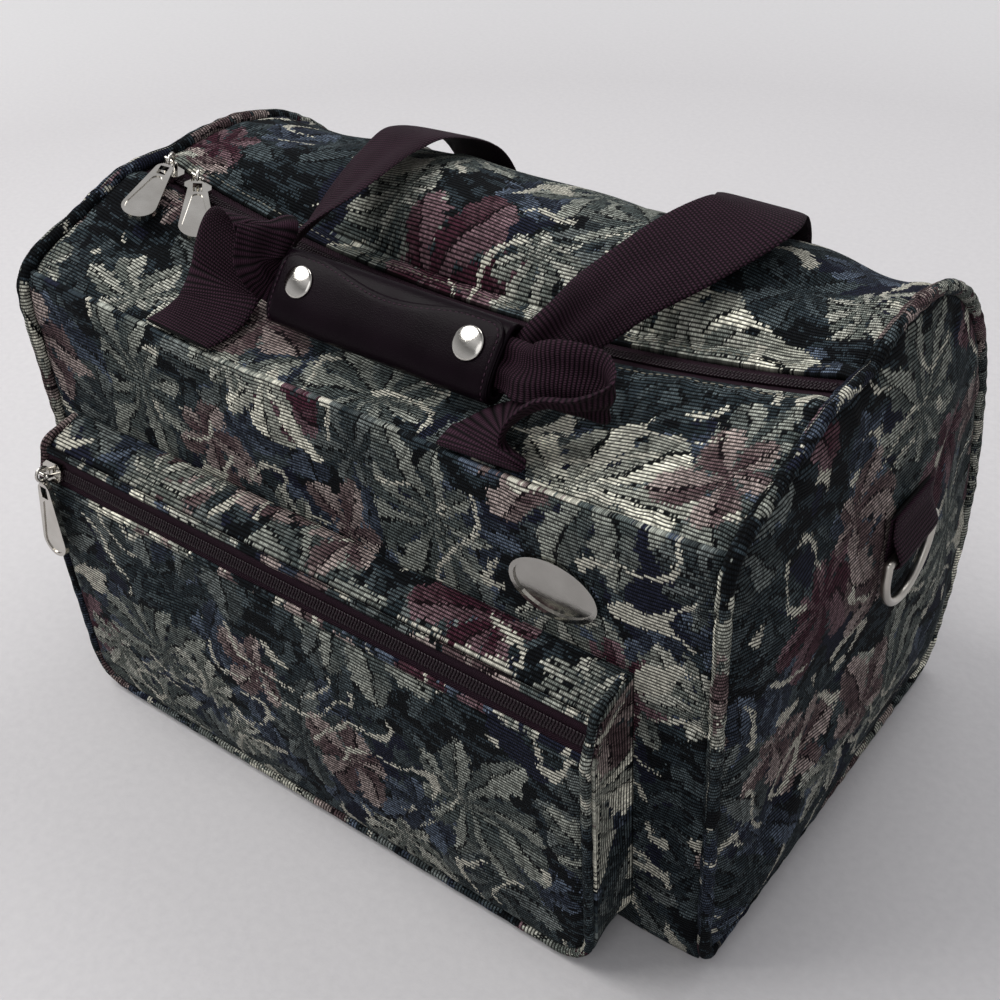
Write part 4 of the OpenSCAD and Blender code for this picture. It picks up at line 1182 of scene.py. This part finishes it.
def flap_top(x, inset=0.0):
    """Angle of the flap's free edge: it dips between the snaps and is rounded at its ends."""
    r = FLAP_R - inset
    past = np.clip(np.abs(x) - (WRAP_END - GAP - inset - r), 0, r)
    dip = FLAP_DIP * np.clip(1 - (x / FLAP_DIP_X) ** 2, 0, 1) ** 2
    y = FLAP_TOP - inset - dip - (r - np.sqrt(r * r - past * past))
    return np.arccos(np.clip(y / (WRAP_W / 2), 0, 1) ** (1 / WRAP_POWER))


def sleeve():
    """The rolled leather round the webbing."""
    n, m = WRAP_N, WRAP_SIDES
    angle = np.linspace(0, 2 * math.pi, m, endpoint=False)
    x = np.linspace(-WRAP_END, WRAP_END, n)[:, None]
    skins = [wrap_point(x, *wrap_section(angle, lift)) for lift in (0, -LEATHER_T)]
    k = n * m
    faces = strip_faces(n, m, wrap_v=True)
    faces += [face[::-1] for face in strip_faces(n, m, k, wrap_v=True)]
    for j in range(m):
        j2 = (j + 1) % m
        faces.append((j, j2, k + j2, k + j))
        faces.append((k - m + j2, k - m + j, 2 * k - m + j, 2 * k - m + j2))
    return np.concatenate([skin.reshape(-1, 3) for skin in skins]), faces


def flap():
    """The flap that comes up over the sleeve's face."""
    along = ((WRAP_END - GAP) * np.sin(np.linspace(-math.pi / 2, math.pi / 2, 110)))[:, None]
    first = flap_top(along)
    share = np.linspace(0, 1, 60)[None, :]
    angle = first + (FLAP_FOOT - first) * share
    rim = np.minimum(share * 45, WRAP_END - GAP - np.abs(along))
    thick = LEATHER_T * (1 - 0.45 * bell(rim, 0.7)) - 0.25 * bell(rim, 0.7, at=2.2)
    wave = np.minimum(0.25 * folds(along + 0 * angle, 9 * angle, seed=17, size=40), 0.2)
    top = wrap_point(along, *wrap_section(angle, thick + wave * ease(rim, 6)))
    return sheet_mesh(top, wrap_point(along, *wrap_section(angle, 0.05)))


def cap_dome(side):
    """A domed snap cap on the flap, on the side -1 or 1."""
    up = WRAP_D / 2 + LEATHER_T + GAP / 8
    centre = in_wrap(side * (WRAP_END - 2 * SNAP_R), up) + CAP_UP * WRAP_DIR
    angle = (np.arange(CAP_SIDES) * 2 * math.pi / CAP_SIDES)[:, None]
    out = np.cos(angle) * np.array([1, 0, 0]) + np.sin(angle) * WRAP_DIR
    return tube_mesh(np.array([centre + h * WRAP_OUT + r * out for r, h in CAP]))


def wrap_stitches():
    """Stitches a little inside the flap's free edge and ends."""
    reach = WRAP_END - GAP - STITCH_IN
    along = reach * np.sin(np.linspace(-math.pi / 2, math.pi / 2, 160))
    edge = flap_top(along, STITCH_IN)
    down = np.linspace(edge[0], STITCH_FOOT, 30)[1:]
    x = np.concatenate([np.full(len(down), -reach), along, np.full(len(down), reach)])
    angle = np.concatenate([down[::-1], edge, down])
    path = wrap_point(x, *wrap_section(angle, LEATHER_T - 0.15))
    out = wrap_point(x, *wrap_section(angle, LEATHER_T + 3)) - path
    lines = [stitch_line(path, out, pitch=2.6)]
    add_stitches("wrap_stitches", lines, PLUM_THREAD, "leather", size=(0.85, 0.3, 0.25))


# ---- ring tabs ----

def ring_tab(side, name):
    """Webbing folded round the ring's bar and sewn to the end."""
    tab_x = HALF_L + END_BULGE + CLOTH_T / 2 + GAP
    loop = DRING_R + GAP + WEB_T / 2
    bar_x = tab_x + DRING_R + GAP + WEB_T
    route = [(tab_x + WEB_T / 2, z) for z in (TAB_UP, 10, 4)]
    route += [(bar_x + loop * math.cos(a), loop * math.sin(a))
              for a in np.radians(np.linspace(180, 395, 12))]
    route += [(tab_x + out * WEB_T, z) for out, z in ((1.9, 10), (1.55, 15), (1.5, TAB_UP))]
    wide = np.array([0.0, side, 0])
    stations = [strap(np.array([side * x, TAB_Y, DRING_H + z]), wide) for x, z in route]
    webbing_piece(f"{name}_tab", stations, f"{name}_ring_tab", 90)

    x = side * (tab_x + 2 * WEB_T + 0.15)
    half = WEB_W / 2 - 3
    out = np.tile([float(side), 0, 0], (2, 1))
    lines = []
    for z in (DRING_H + TAB_UP - 2.5, DRING_H + TAB_UP - 5.5):
        row = np.array([[x, TAB_Y - half, z], [x, TAB_Y + half, z]])
        lines.append(stitch_line(row, out, pitch=2.8))
    add_stitches(f"{name}_tab_stitches", lines, PLUM_THREAD, "webbing", size=(1.0, 0.32, 0.25))


webbing_piece("front_webbing", front_route(), "front_handle", 420)
webbing_piece("rear_webbing", rear_route(), "rear_handle", 520)
add_piece("leather_wrap", *joined([sleeve(), flap()]), LEATHER, nodes=["handle_wrap"],
          slot="leather")
wrap_stitches()
add_piece("cap_domes", *joined([cap_dome(-1), cap_dome(1)]), NICKEL, nodes=["snap_caps"],
          slot="nickel")
for name, (side, _) in ENDS.items():
    ring_tab(side, name)


# ---- stitching along the main zip ----

def skin_line(skin, column, lift=0.05):
    """Stitches along one line of a panel, short of its ends."""
    outer, normal = (part[4:-4, column] for part in skin)
    return stitch_line(outer + lift * normal, normal)


zip_lines = [skin_line(skins["top"], -5), skin_line(skins["rear"], 4)]
add_stitches("zip_stitches", zip_lines, THREAD, "tapestry")


# ---- metal and hidden solids ----

DRESSED = {
    "main_slider_a": NICKEL, "main_pull_a": NICKEL, "main_slider_b": NICKEL,
    "main_pull_b": NICKEL, "pocket_slider": NICKEL, "pocket_pull": NICKEL,
    "left_d_ring": SATIN, "right_d_ring": SATIN, "badge_plate": CHROME, "base_board": BOARD,
}
for node, material in DRESSED.items():
    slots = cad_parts[node].data.materials
    for k in range(len(slots)):
        slots[k] = material


# ---- stage, light and camera, in metres ----

FLOOR_R, FLOOR_SIDES = 2.2, 128
# The floor is painted paler beyond this distance, as painted light where the lamps reach less
PAINTED_LIGHT_FROM = 0.9
# Place, aim, size, watts and colour
LAMPS = {
    "key": ((-1.0, -0.6, 1.7), (0, 0, 0.12), 1.4, 30, (1.0, 0.99, 0.97)),
    "fill": ((0.6, -1.6, 1.3), (0, 0, 0.12), 1.4, 6, (0.97, 0.98, 1.0)),
    "top": ((0.1, 1.0, 1.6), (0, 0, 0.15), 1.0, 11, (1.0, 1.0, 1.0)),
}
# Greys of the studio by height, from the horizon up
SKY = ((0.05, 0.252), (0.45, 0.336), (0.7, 0.714), (1.0, 0.462))
BACKDROP = ((0.15, 0.62), (0.45, 0.22), (0.72, 0.8), (0.95, 0.25))
COOL = 1.03
# Azimuth, elevation and roll in degrees, and the camera's place from the point it looks at
CAMERA_TURN = (37.9, 36.0, -1.6)
CAMERA_AIM, CAMERA_BACK, CAMERA_SHIFT = (0, 0, 0.130), 0.684, (-0.0047, -0.0236)
SENSOR, LENS = 36, 36 * 1.4


def add_floor():
    """A round pale floor with a faint nap, painted paler towards its rim as painted light where
    the lamps reach less.
    """
    g = Look("floor", Roughness=0.95)
    place = g.place()
    nap = g.noise(place, 220.0, 4.0)
    near = g.mix(nap, "#b9b7b9", "#c5c3c4")
    # Painted light: past this distance the floor fades to near white, standing in for light that
    # the lamps don't give there
    past = g.math("SUBTRACT", g.length(place), PAINTED_LIGHT_FROM)
    share = g.math("DIVIDE", past, FLOOR_R - PAINTED_LIGHT_FROM, clamp=True)
    material = g.finish(g.mix(share, near, "#fafafa"), nap, 0.2)
    turns = [2 * math.pi * k / FLOOR_SIDES for k in range(FLOOR_SIDES)]
    rim = [(FLOOR_R * math.cos(a), FLOOR_R * math.sin(a), 0) for a in turns]
    mesh = bpy.data.meshes.new("floor")
    mesh.from_pydata(rim, [], [tuple(range(FLOOR_SIDES))])
    mesh.materials.append(material)
    floor = bpy.data.objects.new("floor", mesh)
    bpy.context.collection.objects.link(floor)


def add_light(name, place, aim, size, watts, colour):
    lamp = bpy.data.lights.new(name, "AREA")
    lamp.shape = "DISK"
    lamp.size = size
    lamp.energy = watts
    lamp.color = colour
    made = bpy.data.objects.new(name, lamp)
    made.location = place
    way = Vector(aim) - Vector(place)
    made.rotation_euler = way.to_track_quat("-Z", "Y").to_euler()
    bpy.context.collection.objects.link(made)


def gradient(g, height, stops):
    """Background shader whose grey follows the height above the horizon."""
    ramp = g.node("ValToRGB", height)
    elements = ramp.color_ramp.elements
    for place, _ in stops[1:-1]:
        elements.new(place)
    for element, (place, level) in zip(elements, stops):
        element.position = place
        element.color = (level, level, COOL * level, 1)
    return g.node("Background", ramp.outputs[0]).outputs[0]


def add_world():
    """Soft sky that lights the bag, and a backdrop that the camera and the metal see."""
    world = bpy.data.worlds.new("studio")
    world.use_nodes = True
    g = Graph(world.node_tree)
    height = g.node("SeparateXYZ", g.node("TexCoord").outputs["Generated"]).outputs["Z"]
    rays = g.node("LightPath").outputs
    seen = rays["Is Camera Ray"]
    for kind in ("Is Glossy Ray", "Is Transmission Ray"):
        seen = g.math("MAXIMUM", seen, rays[kind])
    sky, backdrop = (gradient(g, height, stops) for stops in (SKY, BACKDROP))
    light = g.node("MixShader", seen, sky, backdrop).outputs[0]
    g.put(g.tree.nodes["World Output"].inputs["Surface"], light)
    bpy.context.scene.world = world


def add_camera():
    """Camera at the photograph's angle, shifted a little in the plane of the picture."""
    az, el, roll = (math.radians(a) for a in CAMERA_TURN)
    back = Vector((math.sin(az) * math.cos(el), -math.cos(az) * math.cos(el), math.sin(el)))
    level = (-back).cross(Vector((0, 0, 1))).normalized()
    upright = level.cross(-back)
    right = math.cos(roll) * level + math.sin(roll) * upright
    up = -math.sin(roll) * level + math.cos(roll) * upright
    across, rise = CAMERA_SHIFT
    spot = Vector(CAMERA_AIM) + back * CAMERA_BACK + right * across + up * rise
    data = bpy.data.cameras.new("camera")
    data.sensor_width = SENSOR
    data.lens = LENS
    data.clip_start = 0.01
    camera = bpy.data.objects.new("camera", data)
    axes = Matrix((right, up, back)).transposed().to_4x4()
    camera.matrix_world = Matrix.Translation(spot) @ axes
    bpy.context.collection.objects.link(camera)
    bpy.context.scene.camera = camera


add_floor()
for name, values in LAMPS.items():
    add_light(name, *values)
add_world()
add_camera()
bpy.context.scene.view_settings.view_transform = "Standard"
